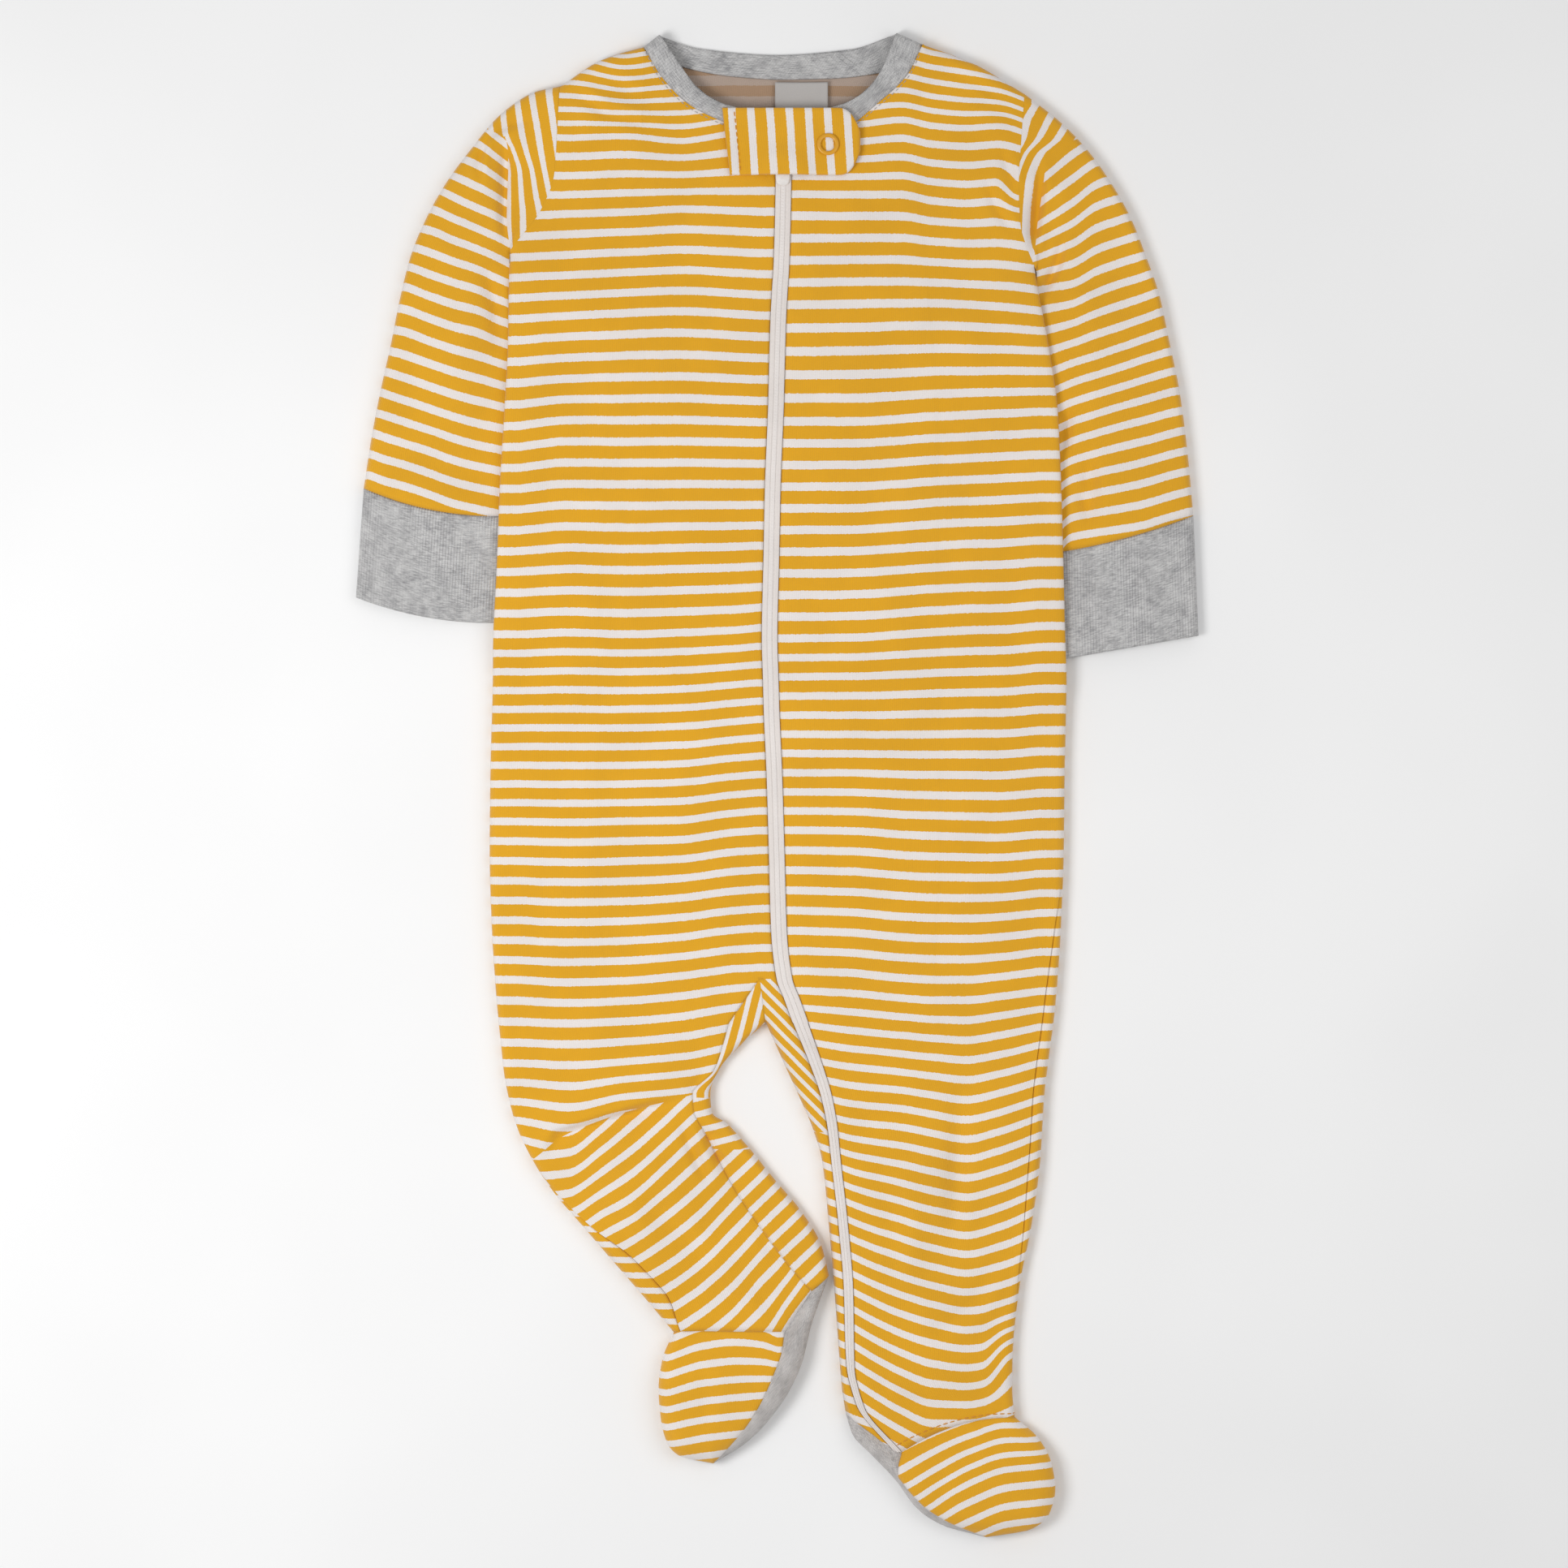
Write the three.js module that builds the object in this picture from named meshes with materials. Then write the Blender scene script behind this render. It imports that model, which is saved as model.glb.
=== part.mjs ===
// Footed baby sleepsuit, laid flat on its back.
// X runs across the garment, Y from the feet (-) to the neck (+), Z up from the surface it lies on.
// Left and right are as seen from above, with the neck at the top. All sizes are in millimetres.
import * as THREE from 'three';

// Cloth walls
const JERSEY = 1.6;
const RIB = 1.8;
const SOLE = 2.0;
const TAPE = 1.3;
const SEAM_GAP = 0.34;

// How high the two layers lie, and how round their folded edges are
const LOFT = 7;
const EDGE_ROLL = 3.5;
const TUCKED_LOFT = 3.9;
const TUCK_FLAT = 9;
const TUCK_FADE = 14;
const TUCK_RISE = 0.29;

// Where the outline turns
const UNDERARM_LEFT = [-109.7, 218];
const UNDERARM_RIGHT = [106, 212];
const ARMHOLE_RISE_LEFT = [0.57, 0.82];
const ARMHOLE_RISE_RIGHT = [-0.38, 0.92];
const UNDERARM_ROLL = 7;
const SHOULDER_ROW = 286.7;
const SHOULDER_RIGHT_Y = 283.7;
const NECK_LEFT = [-54.7, 302.9];
const NECK_RIGHT = [60, 303.9];
const YOKE_END = 190;
const CROTCH_ROW = -80;
const SPLIT_ROW = -98;
const CROTCH = [-4.5, SPLIT_ROW];
const ZIP_HALF = 3.2;

// Rows and columns of the cloth grids, as shares of each span
const ARMHOLE_ROWS = [286.7, 285, 280.5, 269, 252, 236, 226, 220.5, 218];
const BODY_ROWS = [210, 203, 196, 176, 150, 124, 98, 72, 56, 40, 16, -10, -35, -60];
const SPLIT_ROWS = [CROTCH_ROW, -86, -92, SPLIT_ROW];
const SHOULDER_LEFT_X = -89;
const SHOULDER_RIGHT_X = 101.7;
const ZIP_TOP_X = 2.9;
const neckShareLeft = (NECK_LEFT[0] - SHOULDER_LEFT_X) / (ZIP_TOP_X - ZIP_HALF - SHOULDER_LEFT_X);
const neckShareRight = (SHOULDER_RIGHT_X - NECK_RIGHT[0]) / (SHOULDER_RIGHT_X - ZIP_TOP_X - ZIP_HALF);
const LEFT_COLUMNS = [
  0, 0.008, 0.032, 0.1, 0.24, neckShareLeft, 0.5, 0.6, 0.68, 0.82, 0.94, 0.946, 0.962, 1,
];
const LEFT_NECK_COLUMN = 5;
const CROTCH_COLUMN = 10;
const RIGHT_COLUMNS = [0, 0.008, 0.032, 0.1, 0.25, neckShareRight, 0.53, 0.66, 0.82, 1];
const RIGHT_NECK_COLUMN = 5;
const ZIP_COLUMNS = [0, 0.34, 0.5, 0.66, 1];
const WRAP_COLUMNS = [0, 0.45, 0.84, 1];
const BACK_MIDDLE = [0.36, 0.7];

const TINY = 0.001;
const FOLD_START = 9;
const FOLD_END_FADE = 0.35;
const clamp01 = (t) => Math.min(Math.max(t, 0), 1);
const lerp = (a, b, t) => a + (b - a) * t;
const mix = (p, q, t) => p.map((value, axis) => lerp(value, q[axis], t));
const smooth = (t) => clamp01(t) ** 2 * (3 - 2 * clamp01(t));
const distance = (p, q) => Math.hypot(p[0] - q[0], p[1] - q[1]);
const towards = (p, q) => {
  const gap = distance(p, q) || 1;
  return [(q[0] - p[0]) / gap, (q[1] - p[1]) / gap];
};

// The height of a quarter circle above its edge: 0 at the edge and 1 from one radius in.
const quarterRound = (share) => Math.sqrt(1 - (1 - clamp01(share)) ** 2);

// A table of sections, read at any key between its rows by a cubic that never overshoots them.
function sections(columns, rows) {
  const keys = rows.map((row) => row[0]);
  const secant = (k, c) => (rows[k + 1][c] - rows[k][c]) / (keys[k + 1] - keys[k]);
  const slope = (k, c) => {
    if (k === 0) return secant(0, c);
    if (k === rows.length - 1) return secant(k - 1, c);
    const before = secant(k - 1, c);
    const after = secant(k, c);
    return before * after > 0 ? (2 * before * after) / (before + after) : 0;
  };
  const rising = keys[1] > keys[0];
  return (key) => {
    let k = 0;
    while (k < rows.length - 2 && (rising ? key > keys[k + 1] : key < keys[k + 1])) k += 1;
    const span = keys[k + 1] - keys[k];
    const t = clamp01((key - keys[k]) / span);
    const section = {};
    columns.forEach((name, index) => {
      const c = index + 1;
      const start = rows[k][c] * (1 + 2 * t) * (1 - t) ** 2 + slope(k, c) * span * t * (1 - t) ** 2;
      const end = rows[k + 1][c] * (3 - 2 * t) * t ** 2 - slope(k + 1, c) * span * (1 - t) * t ** 2;
      section[name] = start + end;
    });
    return section;
  };
}

// Torso, read by the height of the row at the left side
const TORSO = sections(['leftX', 'rightX', 'rightY', 'zipX', 'sideSeam', 'tuckLeft', 'tuckRight'], [
  [286.7, SHOULDER_LEFT_X, SHOULDER_RIGHT_X, 283.7, ZIP_TOP_X, 0, 0, 0],
  [268.7, -90, 100.4, 265, 2.8, 0, 0, 0],
  [250.3, -91.3, 99.3, 246, 2.6, 0, 0, 0],
  [234.7, -97.3, 100, 230, 2.3, 0, 0, 0],
  [223.7, -105.7, 103.5, 218, 2, 0, 0, 0],
  [218, -109.7, 106, 212, 1.8, 0, 0, 0],
  [211, -109.9, 107, 205.5, 1.4, 0, 1.6, 1.8],
  [204, -110, 108, 199, 1.1, 0, 3.8, 4],
  [197, -110.1, 109.3, 192.5, 0.8, 0, 4.4, 4.4],
  [180, -110.4, 112, 177.5, 0.3, 0, 4.4, 4.4],
  [155.3, -111.7, 115.2, 155, -0.3, 0, 4.4, 4.4],
  [122, -113.7, 116.8, 122, -1.6, 0, 4.4, 4.4],
  [88.7, -115, 117.8, 88.7, -2.3, 0, 4.4, 4.4],
  [60, -116.4, 118.5, 60, -2.9, 0, 4.4, 4.4],
  [42, -116.7, 119, 42, -2.4, 0, 0.6, 4.4],
  [30, -117, 118.9, 30, -2.1, 0, 0, 1.5],
  [5.3, -117.7, 118.4, 5.3, -1, 0, 0, 0],
  [-28, -118, 118, -28, 0, 0, 0, 0],
  [-61.3, -117, 116.7, -61.3, 1, 3, 0, 0],
  [-80, -115.8, 115.5, -80, 3.2, 4.4, 0, 0],
  [-88, -115.2, 114.8, -88, 6.2, 4.8, 0, 0],
  [-98, -114.3, 113.8, -98, 9.8, 5, 0, 0],
]);

// The two shoulder lines and the two necklines, read by X
const SHOULDER_LEFT_LINE = sections(['y'], [[-89, 286.7], [-71, 298], [NECK_LEFT[0], NECK_LEFT[1]]]);
const SHOULDER_RIGHT_LINE = sections(['y'], [[NECK_RIGHT[0], NECK_RIGHT[1]], [80, 296.5], [101.7, 283.7]]);
const NECKLINE_FRONT = sections(['y'], [
  [-54.7, 302.9], [-47.3, 290.3], [-35.7, 278.7], [-21.3, 271.5], [2.9, 262.7], [30, 270.5],
  [41, 279], [54, 291.5], [60, 303.9],
]);
const NECKLINE_BACK = sections(['y'], [
  [-54.7, 302.9], [-39.7, 295.3], [-19, 291.3], [2.9, 289.9], [22, 290.3], [42.7, 292.7], [60, 303.9],
]);
const BAND_FRONT = sections(['x', 'y'], [
  [0, -48.3, 308], [0.14, -39.7, 295.3], [0.27, -32.3, 285.3], [0.38, -20.7, 278.7], [0.5, 3, 274.9],
  [0.62, 26, 278.7], [0.73, 37.3, 285.3], [0.86, 43.3, 293.7], [1, 49.3, 308.7],
]);
const BAND_BACK = sections(['x', 'y'], [
  [0, -48.3, 308], [0.17, -32.3, 302.7], [0.5, 0, 300], [0.83, 30, 302.2], [1, 49.3, 308.7],
]);

// Left leg, bent at the knee: outer edge, inseam on the top, inner edge, and how far the ankle's corner drops
const LEG_LEFT = sections(['outX', 'outY', 'sideSeam', 'seamX', 'seamY', 'inX', 'inY', 'drop', 'loft'], [
  [0, -114.3, -98, 0, -19.5, -98, -4.5, -98, 0, 7],
  [1, -113.3, -107.5, 0, -22, -107, -14.5, -107, 0, 7],
  [2, -112.2, -118, 0, -25.6, -117.5, -23.4, -117, 0, 7],
  [3, -109.6, -131.5, 0, -34.5, -127, -27.3, -127, 0, 7],
  [4, -106, -143, 0, -34, -134, -26.6, -135, 0, 7],
  [5, -99.5, -156, 0, -29.5, -143, -20.5, -139.5, 0, 7],
  [6, -91.5, -168, 1, -24.5, -153, -12.3, -148.5, 0, 7],
  [7, -79.5, -182, 3, -17.3, -166.3, -0.5, -163, 0, 7],
  [8, -67, -196.5, 8, -8.5, -179.5, 10, -175.5, 1, 7],
  [9, -55, -210.3, 9, 2.2, -194.3, 18.3, -189.5, 4, 7.2],
  [10, -42.3, -225.3, 3, 14.3, -208, 21.5, -202, 12.9, 8],
]);
const LEG_LEFT_ROWS = [0, 0.6, 1.3, 2, 2.6, 3.2, 3.7, 4.3, 5, 6, 7, 8, 9, 9.6, 10];
const ANKLE_CORNER_COLUMN = 8;

// Right leg, nearly straight: inner edge, zip centre and half width, outer edge with its side seam
const LEG_RIGHT_COLUMNS = [
  'inX', 'inY', 'zipX', 'zipY', 'zipHalf', 'outX', 'outY', 'sideSeam', 'bow', 'loft',
];
const LEG_RIGHT = sections(LEG_RIGHT_COLUMNS, [
  [-98, -4.5, -98, 9.8, -98, 3, 113.8, -98, 5, 0, 7],
  [-115, 3.1, -115, 16.2, -115, 2.5, 111.5, -115, 5, 0, 7],
  [-128, 9, -128, 20.4, -128, 2.2, 110, -128, 5, 0, 7],
  [-141, 14.6, -141, 22.9, -141, 2, 109.2, -141, 5, 0, 7],
  [-155, 18.7, -155, 24.4, -155, 1.9, 108.3, -155, 5, 0, 7],
  [-181, 21.4, -181, 27.3, -181, 1.9, 104.8, -181, 3.5, 0, 7],
  [-208, 23.7, -208, 29.5, -209, 1.9, 99.6, -208, 1, 0, 7],
  [-235, 25.7, -235, 30, -239, 1.9, 97, -235, 0, 0.5, 7],
  [-248, 26.8, -248, 34, -256, 1.9, 96.8, -248, 0, 2, 7.4],
  [-259, 28.4, -258.7, 49.5, -274.7, 1.9, 97.7, -260, 0, 4, 8],
]);
const ANKLE_BEND = -240;
const LEG_RIGHT_ROWS = [-98, -106, -116, -128, -142, -158, -176, -196, -215, -232, -244, -252, -259];

// Sleeves from the armhole to the cuff seam: outer edge, inner edge, sag of the row and loft at the inner edge
const SLEEVE_COLUMNS = ['outX', 'outY', 'inX', 'inY', 'bow', 'innerLoft'];
const SLEEVE_LEFT = sections(SLEEVE_COLUMNS, [
  [0, -89, 286.7, -109.7, 218, 0, 7],
  [0.08, -99, 284.6, -111, 214.2, 0, 6.2],
  [0.16, -113, 275.7, -111, 210, 0, 5],
  [0.25, -126, 260.6, -111.3, 203.5, 0, 4.1],
  [0.34, -136.5, 246.2, -111, 196.5, 0, 3.9],
  [0.43, -144.6, 231.5, -107.6, 188, 0, 3.9],
  [0.53, -150.5, 217, -105.2, 177, 0, 3.9],
  [0.63, -155, 199, -105.2, 163, 0, 3.9],
  [0.72, -158.6, 181, -105.6, 150, -1, 3.9],
  [0.82, -162.6, 163, -106, 136, -2, 3.9],
  [0.91, -166.4, 143.5, -106.6, 123, -3, 3.9],
  [1, -169.8, 121.5, -107.3, 110.5, -4, 3.9],
]);
const SLEEVE_RIGHT = sections(SLEEVE_COLUMNS, [
  [0, 101.7, 283.7, 106, 212, 0, 7],
  [0.08, 108, 279, 107.4, 209, 0, 6.2],
  [0.16, 117, 271.8, 108.8, 204.5, 0, 5],
  [0.25, 128, 260.3, 110.3, 198.5, 0, 4.1],
  [0.34, 137.5, 247, 111.2, 191.5, 0, 3.9],
  [0.43, 145.4, 233, 109.4, 183, 0, 3.9],
  [0.53, 151.8, 217, 107.4, 172, 0, 3.9],
  [0.63, 157.3, 201, 107.6, 160, 0, 3.9],
  [0.72, 161.4, 182, 108.2, 146, 0, 3.9],
  [0.82, 165.5, 162, 108.8, 130, 0, 3.9],
  [0.91, 168.6, 139, 109.6, 113, -1, 3.9],
  [1, 171.3, 110.3, 110.3, 94.5, -2, 3.9],
]);
const SLEEVE_ROWS = [0, 0.09, 0.16, 0.23, 0.3, 0.38, 0.46, 0.56, 0.67, 0.78, 0.89, 1];
const SLEEVE_LOFT = 6.4;
const SLEEVE_HEAD = 0.16;
const SLEEVE_TUCK_START = 0.5;
const SLEEVE_TUCK_SPAN = 0.33;
const CUFF_LOFT = 6;
const CUFF_LEFT = { outer: [-173, 76.7], inner: [-108, 66.6], bow: -3.6 };
const CUFF_RIGHT = { outer: [173.4, 61], inner: [112.2, 50.4], bow: 0 };
const CUFF_ROWS = [0, 0.33, 0.67, 1];

// Feet, from the ankle to the toes: outline on each side, and the seam between toe cap and sole on the top
const FOOT_COLUMNS = ['capX', 'capY', 'seamX', 'seamY', 'soleX', 'soleY', 'loft', 'roll'];
const FOOT_LEFT = sections(FOOT_COLUMNS, [
  [0, -42.3, -225.3, 2.9, -224.9, 21.5, -202, 8, 3.5],
  [0.2, -46.9, -236, 1.9, -233, 14.4, -222, 11, 6],
  [0.42, -48.5, -248, -1.3, -242, 10.3, -238, 13, 8],
  [0.64, -47.6, -260.5, -6, -252.5, 5, -249.5, 13, 8.5],
  [0.82, -45, -270.5, -12, -262.5, -3.5, -261.5, 12.5, 8.5],
  [0.93, -39.8, -276, -18, -270, -12.5, -270.5, 12, 8.5],
  [1, -26, -279, -26, -279, -26, -279, 11.5, 8.5],
]);
const FOOT_RIGHT = sections(FOOT_COLUMNS, [
  [0, 97.7, -260, 50.3, -274.7, 28.4, -258.7, 8, 3.5],
  [0.2, 107.5, -268.7, 49.6, -279, 31.2, -267.2, 11, 6],
  [0.42, 112.7, -278.5, 49.7, -283.3, 39.5, -276, 13, 8],
  [0.64, 114.4, -289.5, 52, -288.3, 49, -286, 13, 8.5],
  [0.82, 112, -299.5, 59, -297.3, 57.8, -297.6, 12.5, 8.5],
  [0.93, 104.5, -306, 69, -303.7, 68.2, -304.4, 12, 8.5],
  [1, 86, -309.3, 86, -309.3, 86, -309.3, 11.5, 8.5],
]);
const FOOT_ROWS = [0.06, 0.16, 0.3, 0.45, 0.6, 0.74, 0.84, 0.92, 0.97, 1];
const FOOT_BEND_FADE = 0.35;
const FOOT_CROWN_DROP = 0.08;
const FOOT_HEART = 0.45;
const CAP_UNDERSIDE_COLUMNS = 3;

// The largest folds of the top layer: a ridge (+) or trough (-) along a line, fading to its ends
const FOLDS = [
  { name: 'knee crease', from: [-34, -127], to: [-100, -152], width: 6.5, height: -2.4 },
  { name: 'thigh roll above the knee', from: [-30, -117], to: [-100, -138], width: 8, height: 1.6 },
  { name: 'calf roll', from: [-38, -142], to: [-88, -158], width: 8, height: 1.3 },
  { name: 'behind the knee', from: [-24, -148], to: [-16, -172], width: 5.5, height: -1.2 },
  { name: 'left shoulder trough', from: [-99, 273], to: [-119, 268], width: 6, height: -1.5 },
  { name: 'left sleeve head fold', from: [-111, 266], to: [-110, 226], width: 6.5, height: -2.2 },
  { name: 'left sleeve head roll', from: [-121, 262], to: [-120, 228], width: 7, height: 1.2 },
  { name: 'left chest pull', from: [-86, 268], to: [-62, 286], width: 7, height: 1 },
  { name: 'right sleeve head fold', from: [109, 246], to: [106, 222], width: 6, height: -2.2 },
  { name: 'right sleeve lower fold', from: [119, 222], to: [109, 197], width: 6, height: -1.6 },
  { name: 'right sleeve head roll', from: [117, 252], to: [116, 226], width: 7, height: 1.2 },
  { name: 'right shoulder pull', from: [96, 262], to: [78, 284], width: 7, height: 1 },
  { name: 'right elbow trough', from: [129, 136], to: [130, 106], width: 7, height: -1.1 },
  { name: 'right thigh crease', from: [78, -112], to: [79, -190], width: 8, height: -1.6 },
  { name: 'right shin roll', from: [60, -130], to: [58, -205], width: 9, height: 1.2 },
  { name: 'right ankle roll', from: [46, -236], to: [92, -240], width: 8, height: 1.3 },
  { name: 'left belly trough', from: [-88, 40], to: [-40, 20], width: 12, height: -0.9 },
  { name: 'right hip trough', from: [96, -20], to: [50, -36], width: 12, height: -0.9 },
];

function foldHeight([x, y]) {
  return FOLDS.reduce((sum, fold) => {
    const along = [fold.to[0] - fold.from[0], fold.to[1] - fold.from[1]];
    const length = Math.hypot(...along);
    const run = ((x - fold.from[0]) * along[0] + (y - fold.from[1]) * along[1]) / length ** 2;
    const foot = mix(fold.from, fold.to, clamp01(run));
    const off = distance([x, y], foot) / fold.width;
    return sum + fold.height * Math.exp(-(off ** 2)) * (1 - FOLD_END_FADE * Math.abs(2 * clamp01(run) - 1));
  }, 0);
}

// A point of the garment's outer skin. It knows the way through the wall to its lining side, so that two
// pieces that meet at a seam have parallel rims. Near an edge the skin rolls over in a quarter round.
function skinPoint(place, layer, edge, top, bottom) {
  const share = clamp01(edge.inset / edge.roll);
  const rise = quarterRound(share);
  const middle = (top + bottom) / 2;
  const half = (top - bottom) / 2;
  const crease = layer === 'top' ? foldHeight(place) * rise * smooth(edge.inset / FOLD_START) : 0;
  const up = layer === 'top' ? 1 : -1;
  return {
    at: [place[0], place[1], middle + up * half * rise + crease],
    through: [edge.inward[0] * (1 - share), edge.inward[1] * (1 - share), -up * rise],
  };
}

const nearest = (edges) => edges.reduce((best, edge) => (
  edge.inset / edge.roll < best.inset / best.roll ? edge : best
));
const underarmLeft = (place) => (
  { inset: distance(place, UNDERARM_LEFT), inward: ARMHOLE_RISE_LEFT, roll: UNDERARM_ROLL }
);
const underarmRight = (place) => (
  { inset: distance(place, UNDERARM_RIGHT), inward: ARMHOLE_RISE_RIGHT, roll: UNDERARM_ROLL }
);

// Torso
const shoulderLine = (x) => {
  if (x <= NECK_LEFT[0] + TINY) return SHOULDER_LEFT_LINE(x).y;
  if (x >= NECK_RIGHT[0] - TINY) return SHOULDER_RIGHT_LINE(x).y;
  return Infinity;
};
const neckline = (x, layer) => {
  if (x <= NECK_LEFT[0] + TINY || x >= NECK_RIGHT[0] - TINY) return shoulderLine(x);
  return layer === 'top' ? NECKLINE_FRONT(x).y : NECKLINE_BACK(x).y;
};
const SHOULDER_SLOPE = 0.88;
const yokeShare = (row) => clamp01((row - YOKE_END) / (SHOULDER_ROW - YOKE_END)) ** 1.2;

function torsoPlace(row, x, layer) {
  const section = TORSO(row);
  const across = (x - section.leftX) / (section.rightX - section.leftX);
  const level = lerp(row, section.rightY, across);
  const shoulder = TORSO(SHOULDER_ROW);
  const topX = lerp(shoulder.leftX, shoulder.rightX, across);
  const rise = neckline(topX, layer) - lerp(SHOULDER_ROW, SHOULDER_RIGHT_Y, across);
  return [x, level + yokeShare(row) * rise];
}

function torsoPoint(row, x, layer) {
  const section = TORSO(row);
  const place = torsoPlace(row, x, layer);
  const inLeft = x - section.leftX;
  const inRight = section.rightX - x;
  const open = row > UNDERARM_LEFT[1] - TINY;
  const roll = EDGE_ROLL;
  const edge = nearest([
    { inset: SHOULDER_SLOPE * (shoulderLine(x) - place[1]), inward: [0, -1], roll },
    underarmLeft(place),
    underarmRight(place),
    { inset: open ? Infinity : inLeft, inward: [1, 0], roll },
    { inset: open ? Infinity : inRight, inward: [-1, 0], roll },
    { inset: distance(place, CROTCH), inward: [0, 1], roll },
  ]);
  const tuckLeft = section.tuckLeft * (1 - smooth((inLeft - TUCK_FLAT) / TUCK_FADE));
  const tuckRight = section.tuckRight * (1 - smooth((inRight - TUCK_FLAT) / TUCK_FADE));
  const tuck = Math.max(tuckLeft, tuckRight);
  const inset = Math.max(edge.inset, 0);
  return skinPoint(place, layer, { ...edge, inset }, LOFT + TUCK_RISE * tuck, tuck);
}

// The places across one torso row, by piece
function torsoColumns(row) {
  const section = TORSO(row);
  const zipLeft = section.zipX - ZIP_HALF;
  const zipRight = section.zipX + ZIP_HALF;
  const seam = section.rightX - section.sideSeam;
  const left = LEFT_COLUMNS.map((f) => lerp(section.leftX, zipLeft, f));
  const right = RIGHT_COLUMNS.map((f) => lerp(seam, zipRight, f)).reverse();
  const backLeft = left.slice(0, LEFT_NECK_COLUMN + 1);
  const backRight = RIGHT_COLUMNS.slice(0, RIGHT_NECK_COLUMN + 1).map((f) => lerp(section.rightX, zipRight, f));
  const centre = lerp(CROTCH[0], 2.9, smooth((row - SPLIT_ROW) / (SHOULDER_ROW - SPLIT_ROW)));
  return {
    left,
    right,
    zip: ZIP_COLUMNS.map((f) => lerp(zipLeft, zipRight, f)),
    wrap: WRAP_COLUMNS.map((f) => lerp(seam, section.rightX, f)),
    underRight: [...backRight, ...BACK_MIDDLE.map((f) => lerp(backRight.at(-1), centre, f)), centre],
    underLeft: [centre, ...BACK_MIDDLE.map((f) => lerp(centre, backLeft.at(-1), f)), ...backLeft.reverse()],
  };
}

// Patches of skin, collected by the piece that they belong to
const patches = [];
const lay = (piece, facing, rows) => patches.push({ piece, facing, rows });
const part = (rows, from, to) => rows.map((row) => row.slice(from, to + 1));

const upperRows = [...ARMHOLE_ROWS, ...BODY_ROWS, CROTCH_ROW];
const torsoRows = [...ARMHOLE_ROWS, ...BODY_ROWS, ...SPLIT_ROWS];
const torsoStrip = (rows, name, layer) => (
  rows.map((row) => torsoColumns(row)[name].map((x) => torsoPoint(row, x, layer)))
);

// The closed teeth stand a little proud of the tapes.
const CHAIN_RISE = 0.4;
const withChain = (row) => row.map(({ at, through }, index) => (
  { at: [at[0], at[1], at[2] + (index === 2 ? CHAIN_RISE : 0)], through }
));

function layZip(rows) {
  lay('zip_tape_left', 'up', part(rows, 0, 1));
  lay('zip_chain', 'up', part(rows, 1, 3));
  lay('zip_tape_right', 'up', part(rows, 3, 4));
}

const frontLeftRows = torsoStrip(upperRows, 'left', 'top');
const frontRightRows = torsoStrip(torsoRows, 'right', 'top');
const backRightRows = torsoStrip(torsoRows, 'underRight', 'bottom');
const backLeftRows = torsoStrip(torsoRows, 'underLeft', 'bottom');
const wrapRows = torsoStrip(torsoRows, 'wrap', 'top');
const zipRows = torsoStrip(torsoRows, 'zip', 'top').map(withChain);
lay('front_left', 'up', frontLeftRows);
lay('front_right', 'up', frontRightRows);
lay('back', 'down', backRightRows);
lay('back', 'down', backLeftRows);
lay('back', 'up', wrapRows);
layZip(zipRows);

// Below the crotch the front divides, and the seat of the back shows between its two halves.
const crotchShare = (row) => (CROTCH_ROW - row) / (CROTCH_ROW - SPLIT_ROW);
const crotchRows = SPLIT_ROWS.map((row) => {
  const section = TORSO(row);
  const apex = torsoColumns(CROTCH_ROW).left[CROTCH_COLUMN];
  const seam = lerp(apex, LEG_LEFT(0).seamX, crotchShare(row));
  const inner = lerp(apex, CROTCH[0], crotchShare(row));
  const thigh = LEFT_COLUMNS.slice(0, CROTCH_COLUMN + 1).map((f) => (
    lerp(section.leftX, seam, f / LEFT_COLUMNS[CROTCH_COLUMN])
  ));
  const strip = LEFT_COLUMNS.slice(CROTCH_COLUMN).map((f) => (
    lerp(inner, section.zipX - ZIP_HALF, (f - LEFT_COLUMNS[CROTCH_COLUMN]) / (1 - LEFT_COLUMNS[CROTCH_COLUMN]))
  ));
  const seat = WRAP_COLUMNS.map((f) => lerp(seam, inner, f));
  const points = (xs) => xs.map((x) => torsoPoint(row, x, 'top'));
  return { thigh: points(thigh), strip: points(strip), seat: points(seat) };
});
lay('front_left', 'up', crotchRows.map((row) => row.thigh));
lay('front_left', 'up', crotchRows.map((row) => row.strip));
lay('back', 'up', crotchRows.map((row) => row.seat));

// A point of a leg, sleeve or foot row that runs from one folded edge to the other
function tubePoint(place, layer, start, end, loft, corners = []) {
  const edge = nearest([
    { inset: distance(place, start), inward: towards(start, end), roll: EDGE_ROLL },
    { inset: distance(place, end), inward: towards(end, start), roll: EDGE_ROLL },
    ...corners,
  ]);
  return skinPoint(place, layer, edge, loft, 0);
}

// Left leg
const thighShares = LEFT_COLUMNS.slice(0, CROTCH_COLUMN + 1).map((f) => f / LEFT_COLUMNS[CROTCH_COLUMN]);
const splitColumns = torsoColumns(SPLIT_ROW);
const underLeftShares = splitColumns.underLeft.map((x) => (
  (CROTCH[0] - x) / (CROTCH[0] - TORSO(SPLIT_ROW).leftX)
));
const underRightShares = splitColumns.underRight.map((x) => (
  (TORSO(SPLIT_ROW).rightX - x) / (TORSO(SPLIT_ROW).rightX - CROTCH[0])
));
const cornerShare = thighShares[ANKLE_CORNER_COLUMN];

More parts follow.
